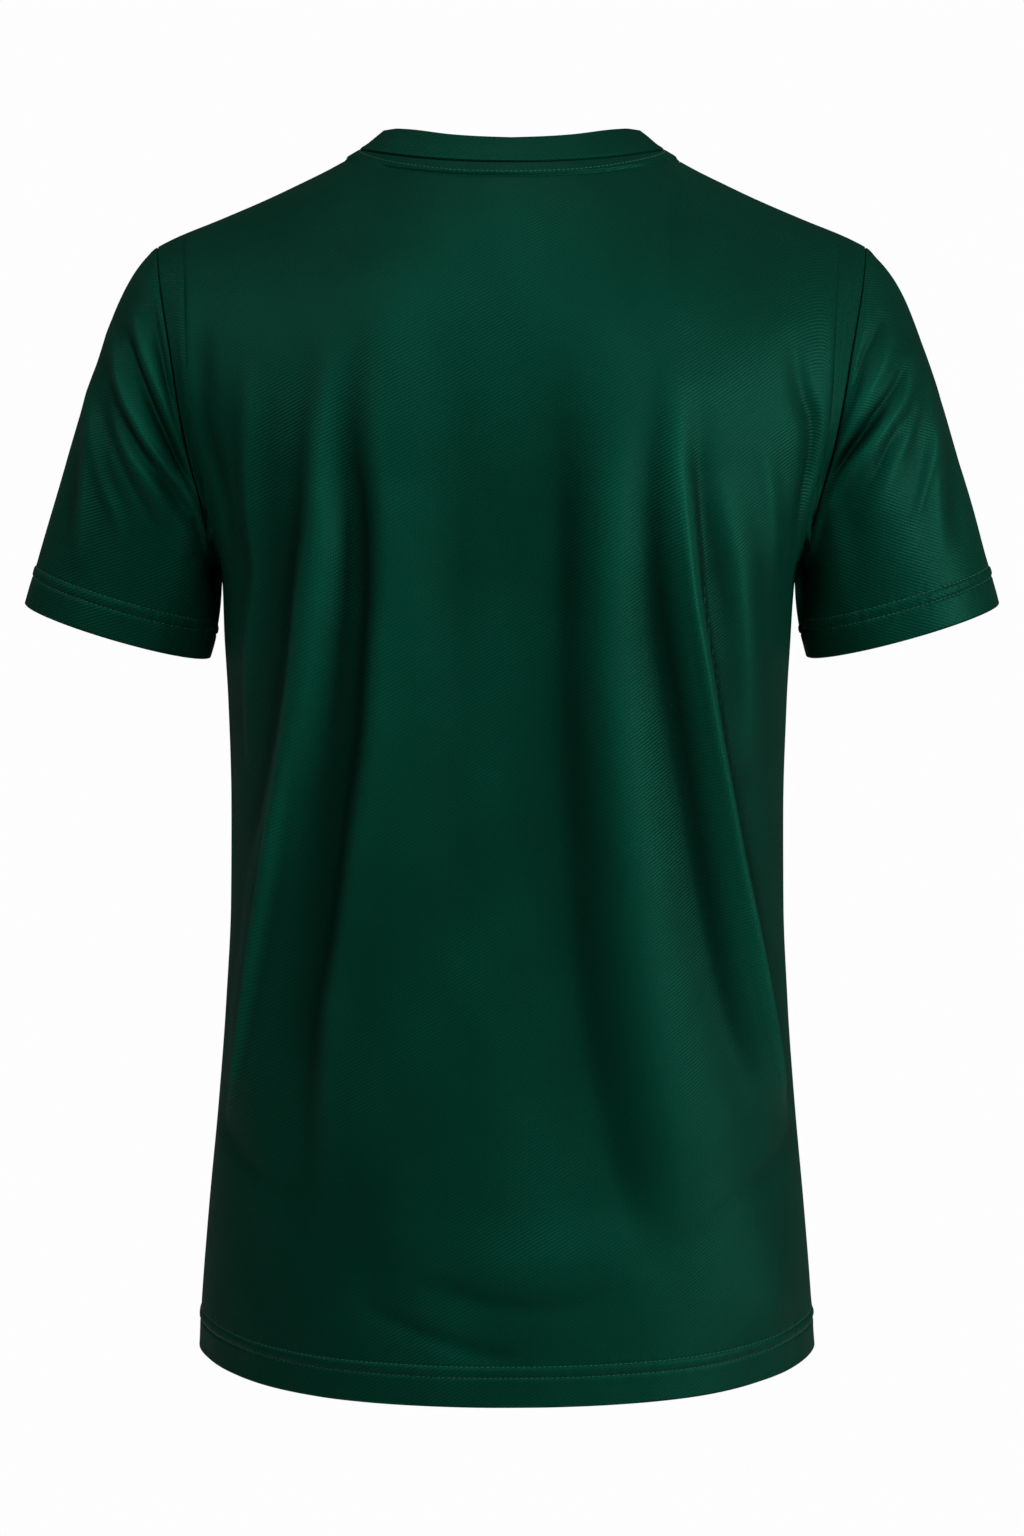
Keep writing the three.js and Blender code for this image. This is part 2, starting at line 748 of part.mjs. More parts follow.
// --------------------------------------------------------- from sheet to wall
// Gives a sheet its thickness, inwards, and closes it into one solid. wall is a
// function of the row; square, where given, is the wall's direction in row 0.
function wallOf(grid, closed, wall, facing, square, turned = () => false) {
  const rows = grid.length;
  const columns = grid[0].length;
  const normals = sheetNormals(grid, closed);
  const positions = [];
  const index = [];
  const inner = rows * columns;
  grid.forEach((row) => row.forEach((p) => positions.push(p.x, p.y, p.z)));
  grid.forEach((row, j) =>
    row.forEach((p, i) => {
      const n = normals[j][i].clone().multiplyScalar(-facing);
      if (square) square(n, j, i);
      const q = p.clone().addScaledVector(n, wall(j));
      positions.push(q.x, q.y, q.z);
    }),
  );
  const at = (j, i, side) => side * inner + j * columns + (i % columns);
  // Four corners in order; turned picks the other diagonal.
  const quad = (a, b, c, d, turned) => {
    const ring = turned ? [b, c, d, a] : [a, b, c, d];
    const [p, q, r, t] = facing > 0 ? ring : [...ring].reverse();
    index.push(p, q, r, p, r, t);
  };
  const across = closed ? columns : columns - 1;
  for (let j = 0; j + 1 < rows; j += 1)
    for (let i = 0; i < across; i += 1) {
      const o = turned(j, i);
      quad(at(j, i, 0), at(j, i + 1, 0), at(j + 1, i + 1, 0), at(j + 1, i, 0), o);
      quad(at(j, i, 1), at(j + 1, i, 1), at(j + 1, i + 1, 1), at(j, i + 1, 1), o);
    }
  for (let i = 0; i < across; i += 1) {
    quad(at(0, i, 1), at(0, i + 1, 1), at(0, i + 1, 0), at(0, i, 0));
    const r = rows - 1;
    quad(at(r, i, 0), at(r, i + 1, 0), at(r, i + 1, 1), at(r, i, 1));
  }
  if (!closed)
    for (let j = 0; j + 1 < rows; j += 1) {
      quad(at(j, 0, 0), at(j + 1, 0, 0), at(j + 1, 0, 1), at(j, 0, 1));
      const c = columns - 1;
      quad(at(j, c, 1), at(j + 1, c, 1), at(j + 1, c, 0), at(j, c, 0));
    }
  const geometry = new THREE.BufferGeometry();
  geometry.setAttribute("position", new THREE.Float32BufferAttribute(positions, 3));
  geometry.setIndex(index);
  geometry.computeVertexNormals();
  return geometry;
}

// A panel's wall: at the side and shoulder seams its edge stays square to them.
function panelWall(name, grid) {
  const p = PANELS[name];
  const last = grid.length - 1;
  return wallOf(
    grid,
    false,
    (j) => (j === 0 ? HEM_CLOTH : j === 1 ? mix(HEM_CLOTH, CLOTH, 0.5) : CLOTH),
    -p.sign,
    (n, j, i) => {
      const k = Math.abs(i - p.half);
      const onSide = k === p.half && j <= p.rowsBelow;
      const onShoulder = j === last && k >= p.neckHalf;
      if (onSide || onShoulder) n.setY(0).normalize();
    },
    (j, i) => i >= p.half !== p.sign > 0,
  );
}

const knit = new THREE.MeshStandardMaterial({
  name: "knit",
  color: new THREE.Color(0.012, 0.085, 0.05),
  roughness: 0.62,
  metalness: 0,
});
const piece = (name, geometry) => {
  const mesh = new THREE.Mesh(geometry, knit);
  mesh.name = name;
  return mesh;
};

const back = panelSheet("back");
const front = panelSheet("front");
const sleeveLeft = sleeveSheet(back, front, 1);
const sleeveRight = sleeveSheet(back, front, -1);
const band = bandSheet(back, front);

const sleeveWall = ({ grid, lies }, way) =>
  wallOf(
    grid,
    true,
    (j) => (j === grid.length - 1 ? HEM_CLOTH : CLOTH),
    -way,
    (n, j, k) => {
      if (j > 0) return;
      n.lerp(lies[k].square.clone().multiplyScalar(-1), lies[k].share).normalize();
    },
    () => way < 0,
  );

const shirt = new THREE.Group();
shirt.name = "tshirt";
shirt.add(
  piece("back", panelWall("back", back)),
  piece("front", panelWall("front", front)),
  piece("sleeve_left", sleeveWall(sleeveLeft, 1)),
  piece("sleeve_right", sleeveWall(sleeveRight, -1)),
  piece("neckband", wallOf(band, true, () => BAND_CLOTH, -1)),
);

export default shirt;
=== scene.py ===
"""The looks of a short-sleeved crew-neck sports T-shirt in dark green polyester interlock.

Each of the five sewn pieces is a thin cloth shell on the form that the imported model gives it: two panels, two
sleeves and the neckband. Lengths in the tables are millimetres in the frame's own axes (+Z up, +Y out of the
shirt's back, +X to the wearer's left), and the meshes are made in metres.
"""

import math

import bpy
import numpy as np
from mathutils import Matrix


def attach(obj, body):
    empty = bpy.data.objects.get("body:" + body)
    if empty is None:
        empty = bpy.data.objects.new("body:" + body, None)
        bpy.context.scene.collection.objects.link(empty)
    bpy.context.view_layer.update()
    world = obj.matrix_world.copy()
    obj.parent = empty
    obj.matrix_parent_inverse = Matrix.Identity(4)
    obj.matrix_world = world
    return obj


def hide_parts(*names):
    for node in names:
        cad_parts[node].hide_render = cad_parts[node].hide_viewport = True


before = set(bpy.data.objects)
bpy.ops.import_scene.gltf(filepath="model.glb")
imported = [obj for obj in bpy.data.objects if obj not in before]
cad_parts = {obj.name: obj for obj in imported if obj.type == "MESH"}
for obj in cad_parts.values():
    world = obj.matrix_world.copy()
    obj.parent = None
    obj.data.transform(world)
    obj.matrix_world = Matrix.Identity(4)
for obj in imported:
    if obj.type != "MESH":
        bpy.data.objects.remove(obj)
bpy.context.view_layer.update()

# ------------------------------------------------------------------ main sizes
CLOTH = 0.5  # one layer of the knit
ROLL = 0.55  # radius at which an edge turns in at a seam
ALLOWANCE = 5.0  # seam allowance standing inside
LEAN = 3.0  # how far the allowance leans over
GAP = 0.12  # between the two edges of a seam, on each side of it
HEM_FOLD = 0.7  # radius of the fold along a hem
HEM_DEPTH = 23.6  # height of the turn-up inside
HEM_ROWS = (16.6, 22.8)  # the two rows of stitches, above the hem edge
NECK_STRIP = 8.5  # seam allowance turned down and topstitched below the neckband
NECK_STRIP_RISE = 1.25
ARMPIT_Z = -240.0
SEAM_Y = -6.0
HPS = (86.5, -0.4)  # high shoulder point: x, z
SHOULDER = (202.0, -54.5)
HEM_SIDE_Z = -689.5

# Level sections of the body.
BODY = {
    "z": (-705, -691, -664, -605, -547, -488, -430, -372, -314, -279, -240, -220, -200, -180, -150, -100, -50, 30),
    "half": (180.2, 178.9, 177.3, 172.4, 166.8, 162.2, 159.3, 158.8, 160.2, 162, 164, 171, 179, 188.5, 206, 230, 245, 260),
    "shift": (2.9, 2.9, 3.2, 3.2, 3.1, 3.0, 2.8, 2.7, 2.6, 2.6, 2.0, 1.5, 1.2, 1.0, 0.8, 0.4, 0.2, 0),
    "back": (133, 132, 130, 126, 121, 118, 117, 118, 120, 122, 123.5, 124, 124, 124, 124, 124, 124, 124),
    "front": (127, 126, 125, 121, 117, 115, 115, 117, 120, 122, 123, 123, 123, 123, 122, 121, 120, 120),
    "square": (2.0, 2.0, 2.05, 2.1, 2.2, 2.3, 2.4, 2.55, 2.78, 2.92, 3.02, 2.92, 2.75, 2.55, 2.4, 2.3, 2.3, 2.3),
}
CREST = {
    "x": (-30, 0, 30, 60, 86.5, 98, 107, 116, 140, 167, 192, 202, 240),
    "z": (21.4, 26, 21.4, 12.4, -0.4, -7.2, -12, -16.4, -27.7, -39.2, -49.4, -54.5, -80),
}
FALL = {"back": (215, 2.1, 1.7), "front": (285, 2.1, 1.5)}  # reach, finish, start
ARMHOLE = {
    "z": (-240, -228, -215, -198, -178, -159, -138, -116, -98, -75, -54.5),
    "back": (164.0, 167.4, 170.3, 174.1, 179.4, 183.6, 187.4, 191.0, 194.4, 198.8, 202.0),
    "front": (164.0, 165.6, 167.4, 170.2, 173.6, 177.0, 180.6, 185.0, 189.4, 195.8, 202.0),
}
PANELS = {
    "back": dict(sign=1, hem=-698.1, neck=-7.7, round=2.2, round2=1.0, neck_share=7 / 19),
    "front": dict(sign=-1, hem=-694.0, neck=-72.0, round=2.0, round2=1.9, neck_share=8 / 17),
}


# --------------------------------------------------------------------- helpers
def mix(a, b, t):
    return a + (b - a) * t


def ease(t):
    c = np.clip(t, 0, 1)
    return c * c * (3 - 2 * c)


def unit(v):
    return v / np.maximum(np.linalg.norm(v, axis=-1, keepdims=True), 1e-12)


def curve(xs, ys):
    """A smooth curve through the points that never overshoots between them."""
    x, y = np.asarray(xs, float), np.asarray(ys, float)
    order = np.argsort(x)
    x, y = x[order], y[order]
    h, d = np.diff(x), np.diff(y) / np.diff(x)
    m = np.concatenate([[d[0]], np.zeros(len(x) - 2), [d[-1]]])
    for i in range(1, len(x) - 1):
        if d[i - 1] * d[i] > 0:
            w1, w2 = 2 * h[i] + h[i - 1], h[i] + 2 * h[i - 1]
            m[i] = (w1 + w2) / (w1 / d[i - 1] + w2 / d[i])

    def at(v):
        c = np.clip(v, x[0], x[-1])
        i = np.clip(np.searchsorted(x, c, side="right") - 1, 0, len(x) - 2)
        t = (c - x[i]) / h[i]
        t2, t3 = t * t, t * t * t
        return (
            y[i] * (2 * t3 - 3 * t2 + 1)
            + m[i] * h[i] * (t3 - 2 * t2 + t)
            + y[i + 1] * (3 * t2 - 2 * t3)
            + m[i + 1] * h[i] * (t3 - t2)
        )

    return at


def run_of(points):
    """Length run along a line, or along each of several, from its first point."""
    step = np.linalg.norm(np.diff(points, axis=-2), axis=-1)
    zero = np.zeros(step.shape[:-1] + (1,))
    return np.concatenate([zero, np.cumsum(step, axis=-1)], axis=-1)


body_half = curve(BODY["z"], BODY["half"])
body_shift = curve(BODY["z"], BODY["shift"])
body_square = curve(BODY["z"], BODY["square"])
body_depth = {n: curve(BODY["z"], BODY[n]) for n in PANELS}
crest = curve(CREST["x"], CREST["z"])
armhole_x = {n: curve(ARMHOLE["z"], ARMHOLE[n]) for n in PANELS}


def depth_at(name, x, z):
    share = np.minimum(1, np.abs(x) / body_half(z))
    n = body_square(z)
    ring = body_depth[name](z) * np.maximum(0, 1 - share**n) ** (1 / n)
    reach, finish, start = FALL[name]
    t = np.clip((crest(np.abs(x)) - z) / reach, 0, 1)
    fall = (1 - (1 - t) ** finish) ** (1 / start)
    seam = SEAM_Y * ease((z - ARMPIT_Z) / 60)
    return mix(seam, PANELS[name]["sign"] * ring, fall)


def cloth_point(name, x, z):
    return np.stack([x + body_shift(z), depth_at(name, x, z), z + 0 * x], axis=-1)


# Cloth coordinates: how far a place lies from the middle, measured level along the cloth.
LEVELS = np.arange(-712, 36, 3.0)
SHARES = np.linspace(0, 1, 260)
ROUND = {}
for _n in PANELS:
    _x = body_half(LEVELS)[:, None] * SHARES[None, :]
    _y = depth_at(_n, _x, LEVELS[:, None])
    ROUND[_n] = run_of(np.stack([_x, _y], axis=-1))


def across(name, x, z):
    """Signed length along the cloth at that height, from the middle to x."""
    q = np.clip(np.abs(x) / body_half(z), 0, 1) * (len(SHARES) - 1)
    l = np.clip((z - LEVELS[0]) / 3.0, 0, len(LEVELS) - 1.001)
    i, j = np.minimum(q.astype(int), len(SHARES) - 2), l.astype(int)
    u, v = q - i, l - j
    t = ROUND[name]
    run = (t[j, i] * (1 - u) + t[j, i + 1] * u) * (1 - v) + (t[j + 1, i] * (1 - u) + t[j + 1, i + 1] * u) * v
    return np.sign(x) * run


def waves(t, seed, lengths, heights):
    """An uneven wave made of a few sines; t in millimetres."""
    rng = np.random.default_rng(seed)
    total = 0
    for length, height in zip(lengths, heights):
        total = total + height * np.sin(2 * math.pi * (t / (length * rng.uniform(0.9, 1.1)) + rng.uniform()))
    return total


# ----------------------------------------------------------------------- folds
# Each fold is a line down the cloth. A row is x, z (seen square on), rise in millimetres (out is positive) and a
# factor on its width. left and right are how far its two flanks reach, to the wearer's left and right for a
# line that runs down. sharp is the radius of its crest, as a share of its reach, or None for a soft, round fold.
def fold(name, left, right, sharp, *line):
    return dict(name=name, left=left, right=right, sharp=sharp, line=line)


FOLDS = {
    "back": [
        fold("right bead", 5, 8, 0.4,
             (-91, -165, 0, 1), (-94, -200, 2.0, 1), (-98, -240, 3.4, 1), (-104, -280, 4.2, 1), (-109.5, -320, 4.6, 1), (-116, -360, 4.8, 1),
             (-122.5, -400, 4.8, 1), (-131, -440, 4.6, 1), (-140.5, -480, 4.0, 1), (-151.5, -520, 2.6, 0.8), (-162, -548, 0, 0.6)),
        fold("left bead", 7, 6, 0.25,
             (115, -310, 0, 1), (122.5, -360, 3.6, 1), (127.5, -400, 6.2, 1), (134.5, -440, 6.8, 1), (141.5, -480, 6.0, 0.9), (150.5, -520, 4.0, 0.7), (160, -550, 0, 0.6)),
        fold("right outer ridge", 12, 15, 0.3,
             (-106, -150, 0, 0.8), (-115, -178, 1.0, 0.9), (-122, -204, 2.8, 1), (-131, -242, 3.8, 1), (-136, -282, 3.4, 1), (-137.5, -320, 2.4, 1.1), (-136, -352, 0, 1.2)),
        fold("right side ridge", 8, 9, 0.3,
             (-138, -158, 0, 0.8), (-146, -190, 1.6, 1), (-149, -214, 1.6, 1), (-151, -248, 0, 1)),
        fold("left outer ridge", 9, 12, 0.3,
             (146, -116, 0, 0.9), (146, -150, 2.4, 1), (145, -187, 3.6, 1), (144, -222, 3.0, 1), (148, -270, 2.4, 1), (150, -320, 1.8, 0.9), (150, -350, 0, 0.8)),
        # over the shoulder blades
        fold("right blade", 30, 60, None,
             (-92, -40, 0, 1), (-94, -84, 3.6, 1), (-96, -128, 3.4, 1), (-98, -176, 0, 1)),
        fold("left blade", 50, 34, None,
             (62, -50, 0, 1), (62, -90, 3.4, 1), (62, -135, 2.4, 1), (62, -180, 0, 1)),
        # near the armholes
        fold("left armhole ridge", 9, 12, 0.4,
             (188, -72, 0, 1), (185, -95, 1.3, 1), (179.5, -130, 1.8, 1), (172, -165, 0, 1)),
        fold("left armhole trough", 7, 9, None,
             (173, -98, 0, 1), (173, -124, -2.0, 1), (172, -146, -2.6, 1), (167, -172, -2.6, 1), (160, -203, -1.8, 1), (156, -238, 0, 1)),
        fold("right armhole trough", 10, 6, None,
             (-156, -100, 0, 1), (-162, -130, -2.6, 1), (-170, -155, -4.2, 1), (-169, -180, -4.2, 1), (-165, -206, -2.4, 1), (-162, -228, 0, 1)),
        # towards the hem
        fold("hem streak", 8, 10, None,
             (58, -622, 0, 1), (36, -630, -0.9, 1), (6, -639, -1.4, 1), (-24, -641, -1.1, 1), (-50, -636, -0.5, 1), (-70, -628, 0, 1)),
        fold("lower hem streak", 7, 8, None,
             (84, -636, 0, 1), (66, -648, -1.2, 1), (40, -659, -1.7, 1), (10, -667, -1.4, 1), (-14, -670, 0, 1)),
        fold("hem swell", 20, 22, None,
             (90, -596, 0, 1), (54, -608, 1.8, 1), (0, -617, 2.4, 1), (-56, -608, 1.8, 1), (-96, -592, 0, 1)),
        fold("left side drag", 9, 12, None,
             (165, -548, 0, 1), (158, -562, -1.3, 1), (146, -574, -1.3, 1), (130, -583, -0.7, 1), (110, -588, 0, 1)),
        fold("right side drag", 9, 14, None,
             (-166, -552, 0, 1), (-158, -566, -1.0, 1), (-146, -578, -1.0, 1), (-130, -588, -0.5, 1), (-114, -596, 0, 1)),
    ],
    "front": [
        fold("left chest ridge", 26, 24, 0.14,
             (94, -150, 0, 0.9), (97, -205, 4.2, 0.9), (103, -262, 7.0, 1), (111, -330, 8.4, 1), (121, -410, 8.0, 1), (134, -490, 5.4, 0.9), (147, -566, 0, 0.6)),
        fold("left inner ridge", 26, 30, None,
             (53, -205, 0, 1), (55, -255, 2.6, 1), (58, -320, 5.2, 1), (66, -405, 6.4, 1.05), (77, -490, 5.2, 1.1), (91, -585, 0, 1.1)),
        fold("left middle trough", 16, 18, None,
             (79, -190, 0, 1), (80, -240, -3.0, 1), (85, -310, -4.4, 1), (93, -390, -4.0, 1.05), (105, -470, -2.6, 1.1), (116, -540, 0, 1.1)),
        fold("right chest ridge", 26, 24, 0.12,
             (-90, -148, 0, 0.9), (-95, -205, 4.6, 0.9), (-102, -262, 7.4, 1), (-114, -335, 8.8, 1), (-128, -415, 7.6, 0.95), (-142, -490, 4.6, 0.8), (-154, -552, 0, 0.6)),
        fold("right inner ridge", 28, 24, None,
             (-43, -215, 0, 1), (-46, -265, 2.6, 1), (-51, -335, 5.4, 1), (-62, -420, 6.6, 1.05), (-77, -510, 4.6, 1.1), (-94, -600, 0, 1.1)),
        fold("right middle trough", 18, 16, None,
             (-72, -185, 0, 1), (-74, -240, -2.8, 1), (-80, -310, -4.2, 1), (-90, -390, -3.8, 1.05), (-103, -465, -2.2, 1.1), (-114, -530, 0, 1.1)),
        fold("chest hollow", 32, 32, None,
             (0, -110, 0, 0.8), (0, -160, -2.0, 1), (-2, -240, -3.0, 1), (-3, -330, -1.8, 1), (-3, -410, 0, 1)),
        fold("left pectoral", 42, 42, None,
             (84, -100, 0, 1), (82, -145, 2.0, 1), (78, -190, 2.2, 1), (76, -230, 0, 1)),
        fold("right pectoral", 42, 42, None,
             (-82, -100, 0, 1), (-80, -145, 2.2, 1), (-78, -190, 2.0, 1), (-76, -230, 0, 1)),
        fold("left outer ridge", 12, 13, 0.35,
             (138, -160, 0, 0.9), (143, -205, 2.4, 1), (147, -265, 2.8, 1), (146, -330, 1.8, 1), (142, -375, 0, 0.9)),
        fold("right outer ridge", 13, 13, 0.35,
             (-136, -158, 0, 0.9), (-142, -200, 2.6, 1), (-146, -255, 2.6, 1), (-144, -315, 1.6, 1), (-139, -355, 0, 0.9)),
        fold("left armhole trough", 7, 9, None,
             (164, -104, 0, 1), (163, -135, -1.8, 1), (160, -165, -2.2, 1), (156, -200, -1.4, 1), (153, -232, 0, 1)),
        fold("right armhole trough", 9, 7, None,
             (-163, -106, 0, 1), (-162, -138, -2.0, 1), (-159, -168, -2.2, 1), (-155, -203, -1.2, 1), (-152, -235, 0, 1)),
        fold("hem streak", 9, 12, None,
             (46, -612, 0, 1), (28, -622, -1.2, 1), (2, -631, -1.7, 1), (-24, -628, -1.3, 1), (-44, -618, 0, 1)),
        fold("hem swell", 22, 22, None,
             (84, -590, 0, 1), (46, -602, 1.5, 1), (-4, -608, 1.8, 1), (-50, -600, 1.4, 1), (-84, -588, 0, 1)),
        fold("left side drag", 10, 13, None,
             (163, -540, 0, 1), (154, -555, -1.5, 1), (140, -568, -1.5, 1), (124, -580, 0, 1)),
        fold("right side drag", 10, 13, None,
             (-163, -532, 0, 1), (-155, -548, -1.5, 1), (-141, -562, -1.3, 1), (-126, -574, 0, 1)),
    ],
}


# The long folds hang together: each line below runs down the cloth, and the cloth passes smoothly from one to the
# next. A row is x, z, rise.
NETS = {
    "back": {
        "left foot": [(112, -110, 0), (116, -140, 0), (118, -160, -0.6), (120, -200, -3.0), (124, -240, -5.0), (128, -280, -5.8), (134.5, -320, -5.8),
                      (142, -360, -4.6), (150, -400, -3.0), (155, -440, -1.6), (159, -480, -0.6), (165, -560, 0)],
        "left crest": [(96, -96, 0), (102, -130, 2.0), (105, -160, 5.0), (105, -200, 8.6), (108, -240, 10.8), (112, -280, 11.4), (117, -320, 11.2),
                       (123, -360, 10.2), (129, -400, 9.2), (136, -440, 7.8), (142.5, -480, 6.2), (150, -520, 3.4), (157, -556, 0)],
        "left valley": [(86, -104, 0), (89, -140, -0.6), (88, -160, -1.8), (84, -200, -4.2), (82.5, -240, -5.2), (84.5, -280, -5.6), (87, -320, -5.8),
                        (93, -360, -5.8), (98, -400, -5.8), (104, -440, -5.8), (110.5, -480, -5.4), (114, -520, -4.2), (116, -570, -1.8), (118, -620, 0)],
        "left step": [(70, -90, 0), (74, -130, 2.2), (73, -160, 4.2), (69, -200, 6.2), (68, -240, 7.2), (70, -280, 7.4), (72.5, -320, 7.6),
                      (77, -360, 7.6), (83, -400, 7.4), (88, -440, 6.8), (94, -480, 5.8), (96, -520, 4.4), (94, -560, 2.4), (90, -610, 0)],
        "spine left": [(24, -40, 0), (24, -80, -1.2), (24, -120, -3.2), (24, -200, -4.8), (22, -300, -5.0), (20, -400, -4.6), (16, -480, -3.4), (12, -540, -1.6), (10, -600, 0)],
        "spine right": [(-14, -40, 0), (-16, -80, -1.0), (-20, -120, -3.4), (-25, -160, -5.4), (-27, -200, -7.2), (-29, -260, -8.4), (-31, -320, -8.8), (-34, -380, -9.0),
                        (-38, -440, -9.0), (-43, -490, -8.6), (-51, -530, -7.8), (-60, -570, -6.2), (-67, -600, -3.4), (-72, -628, 0)],
        "right round crest": [(-62, -84, 0), (-62, -120, 0.8), (-60, -160, 2.6), (-56, -200, 5.0), (-55, -240, 6.0), (-57, -280, 6.4), (-61, -320, 6.8), (-64, -360, 6.8),
                              (-68, -400, 6.6), (-72, -440, 6.4), (-78, -480, 6.2), (-86, -520, 5.6), (-93, -556, 4.6), (-102, -605, 0)],
        "right valley": [(-80, -120, 0), (-79, -150, 0), (-77, -176, 0), (-77, -200, -0.8), (-79.5, -240, -1.4), (-85.5, -280, -1.8), (-92, -320, -2.0), (-98, -360, -2.2),
                         (-104.5, -400, -2.4), (-111.5, -440, -2.4), (-121, -480, -2.2), (-132, -520, -1.6), (-141, -556, 0)],
        "right sharp crest": [(-88, -110, 0), (-90, -140, 2.4), (-91, -165, 5.4), (-93.5, -200, 9.0), (-97.5, -240, 12.0), (-103, -280, 13.6), (-108.5, -320, 14.2), (-114.5, -360, 14.4),
                              (-121, -400, 14.2), (-129.5, -440, 12.8), (-139.5, -480, 10.2), (-151, -520, 5.8), (-161, -552, 0)],
        "right foot": [(-104, -120, 0), (-105, -150, 0), (-106, -180, -1.6), (-108, -210, -3.4), (-112, -245, -4.2), (-118, -285, -3.8), (-124, -325, -2.6),
                       (-131.5, -370, -1.2), (-141, -420, 0), (-150, -470, 0.4), (-158, -520, 0), (-165, -580, 0)],
    },
}


def net_height(name, a, z):
    lines = list(NETS[name].values())
    levels = np.arange(-712.0, 36.0, 3.0)
    edge = across(name, body_half(levels), levels) + 45 * ease((levels - ARMPIT_Z) / 40)
    nodes, rises = [edge], [0 * levels]
    for line in lines:
        r = np.asarray(line, float)
        x, h = curve(r[:, 1], r[:, 0])(levels), curve(r[:, 1], r[:, 2])(levels)
        h = np.where((levels > r[:, 1].max()) | (levels < r[:, 1].min()), 0, h)
        nodes.append(across(name, x, levels)), rises.append(h)
    nodes.append(-edge), rises.append(0 * levels)
    nodes, rises = np.array(nodes), np.array(rises)
    step = 1.0
    spots = np.arange(-270.0, 270.0 + step, step)
    table = np.zeros((len(levels), len(spots)))
    for j in range(len(levels)):
        table[j] = curve(nodes[:, j], rises[:, j])(spots)
    weight = np.array([1, 3, 6, 7, 6, 3, 1.0])
    weight /= weight.sum()
    for _ in range(2):
        table = sum(w * np.roll(table, k - 3, axis=1) for k, w in enumerate(weight))
    weight = np.array([1, 2, 3, 2, 1.0]) / 9
    padded = np.pad(table, ((2, 2), (0, 0)), mode="edge")
    table = sum(w * padded[k: k + len(levels)] for k, w in enumerate(weight))
    q = np.clip((a - spots[0]) / step, 0, len(spots) - 1.001)
    l = np.clip((z - levels[0]) / 3.0, 0, len(levels) - 1.001)
    i, j = q.astype(int), l.astype(int)
    u, v = q - i, l - j
    return (table[j, i] * (1 - u) + table[j, i + 1] * u) * (1 - v) + (table[j + 1, i] * (1 - u) + table[j + 1, i + 1] * u) * v


def fold_line(rows, place, fine=36):
    """The fold's line as many short steps: places, rise and width factor."""
    rows = np.asarray(rows, float)
    spots = np.stack([place(rows[:, 0], rows[:, 1]), rows[:, 1]], axis=-1)
    run = run_of(spots)
    t = np.linspace(0, run[-1], fine)
    cols = [curve(run, c)(t) for c in (spots[:, 0], spots[:, 1], rows[:, 2], rows[:, 3])]
    return np.stack(cols[:2], axis=-1), cols[2], cols[3]


def fold_height(a, z, f, place):
    spots, rise, width = fold_line(f["line"], place)
    widest = 2.0 * max(f["left"], f["right"]) * float(width.max())
    near = (
        (a > spots[:, 0].min() - widest) & (a < spots[:, 0].max() + widest)
        & (z > spots[:, 1].min() - widest) & (z < spots[:, 1].max() + widest)
    )
    out = np.zeros(a.shape)
    if not near.any():
        return out
    pa, pz = a[near], z[near]
    best = np.full(pa.shape, 1e9)
    height, wide, side = np.zeros(pa.shape), np.ones(pa.shape), np.ones(pa.shape)
    for k in range(len(spots) - 1):
        p, q = spots[k], spots[k + 1]
        d = q - p
        t = np.clip(((pa - p[0]) * d[0] + (pz - p[1]) * d[1]) / (d @ d), 0, 1)
        oa, oz = pa - (p[0] + t * d[0]), pz - (p[1] + t * d[1])
        far = np.hypot(oa, oz)
        closer = far < best
        best = np.where(closer, far, best)
        height = np.where(closer, mix(rise[k], rise[k + 1], t), height)
        wide = np.where(closer, mix(width[k], width[k + 1], t), wide)
        side = np.where(closer, np.sign(d[0] * oz - d[1] * oa), side)
    # The two flanks' reaches pass into each other over the crest.
    swing = 0.5 + 0.5 * np.tanh(side * best / 2.5)
    u = best / (wide * mix(f["right"], f["left"], swing))
    if f["sharp"] is None:
        shape = np.exp(-1.4 * u * u)
    else:
        r = f["sharp"]
        v = np.minimum(u, 1.35) / 1.35
        shape = ((math.sqrt(1 + r * r) - np.sqrt(v * v + r * r)) / (math.sqrt(1 + r * r) - r)) ** 1.75
    out[near] = height * shape
    return out


# ------------------------------------------------------------------ cloth shell
def grid_normals(P, closed):
    if closed:
        di = np.roll(P, -1, axis=1) - np.roll(P, 1, axis=1)
    else:
        di = np.gradient(P, axis=1)
    return unit(np.cross(di, np.gradient(P, axis=0)))


def loops_of(rows, columns, closed):
    """The edges of a grid, each a round of grid indices with the cloth on its left."""
    at = np.arange(rows * columns).reshape(rows, columns)
    if closed:
        return [at[0], np.roll(at[-1][::-1], 1)]
    return [np.concatenate([at[0, :-1], at[:-1, -1], at[-1, :0:-1], at[:0:-1, 0]])]


def stand(h, closed, reach):
    """How far each point of a fold stands above the cloth around it, over a few columns and rows either way."""
    out = h
    for axis in (0, 1):
        weight = np.exp(-0.5 * (np.arange(-2 * reach[axis], 2 * reach[axis] + 1) / max(reach[axis], 1)) ** 2)
        weight /= weight.sum()
        half = len(weight) // 2
        pad = [(0, 0), (0, 0)]
        pad[axis] = (half, half)
        wide = np.pad(out, pad, mode="wrap" if closed and axis == 1 else "edge")
        n = out.shape[axis]
        cut = (lambda k: wide[k: k + n]) if axis == 0 else (lambda k: wide[:, k: k + n])
        out = sum(w * cut(k) for k, w in enumerate(weight))
    return h - out


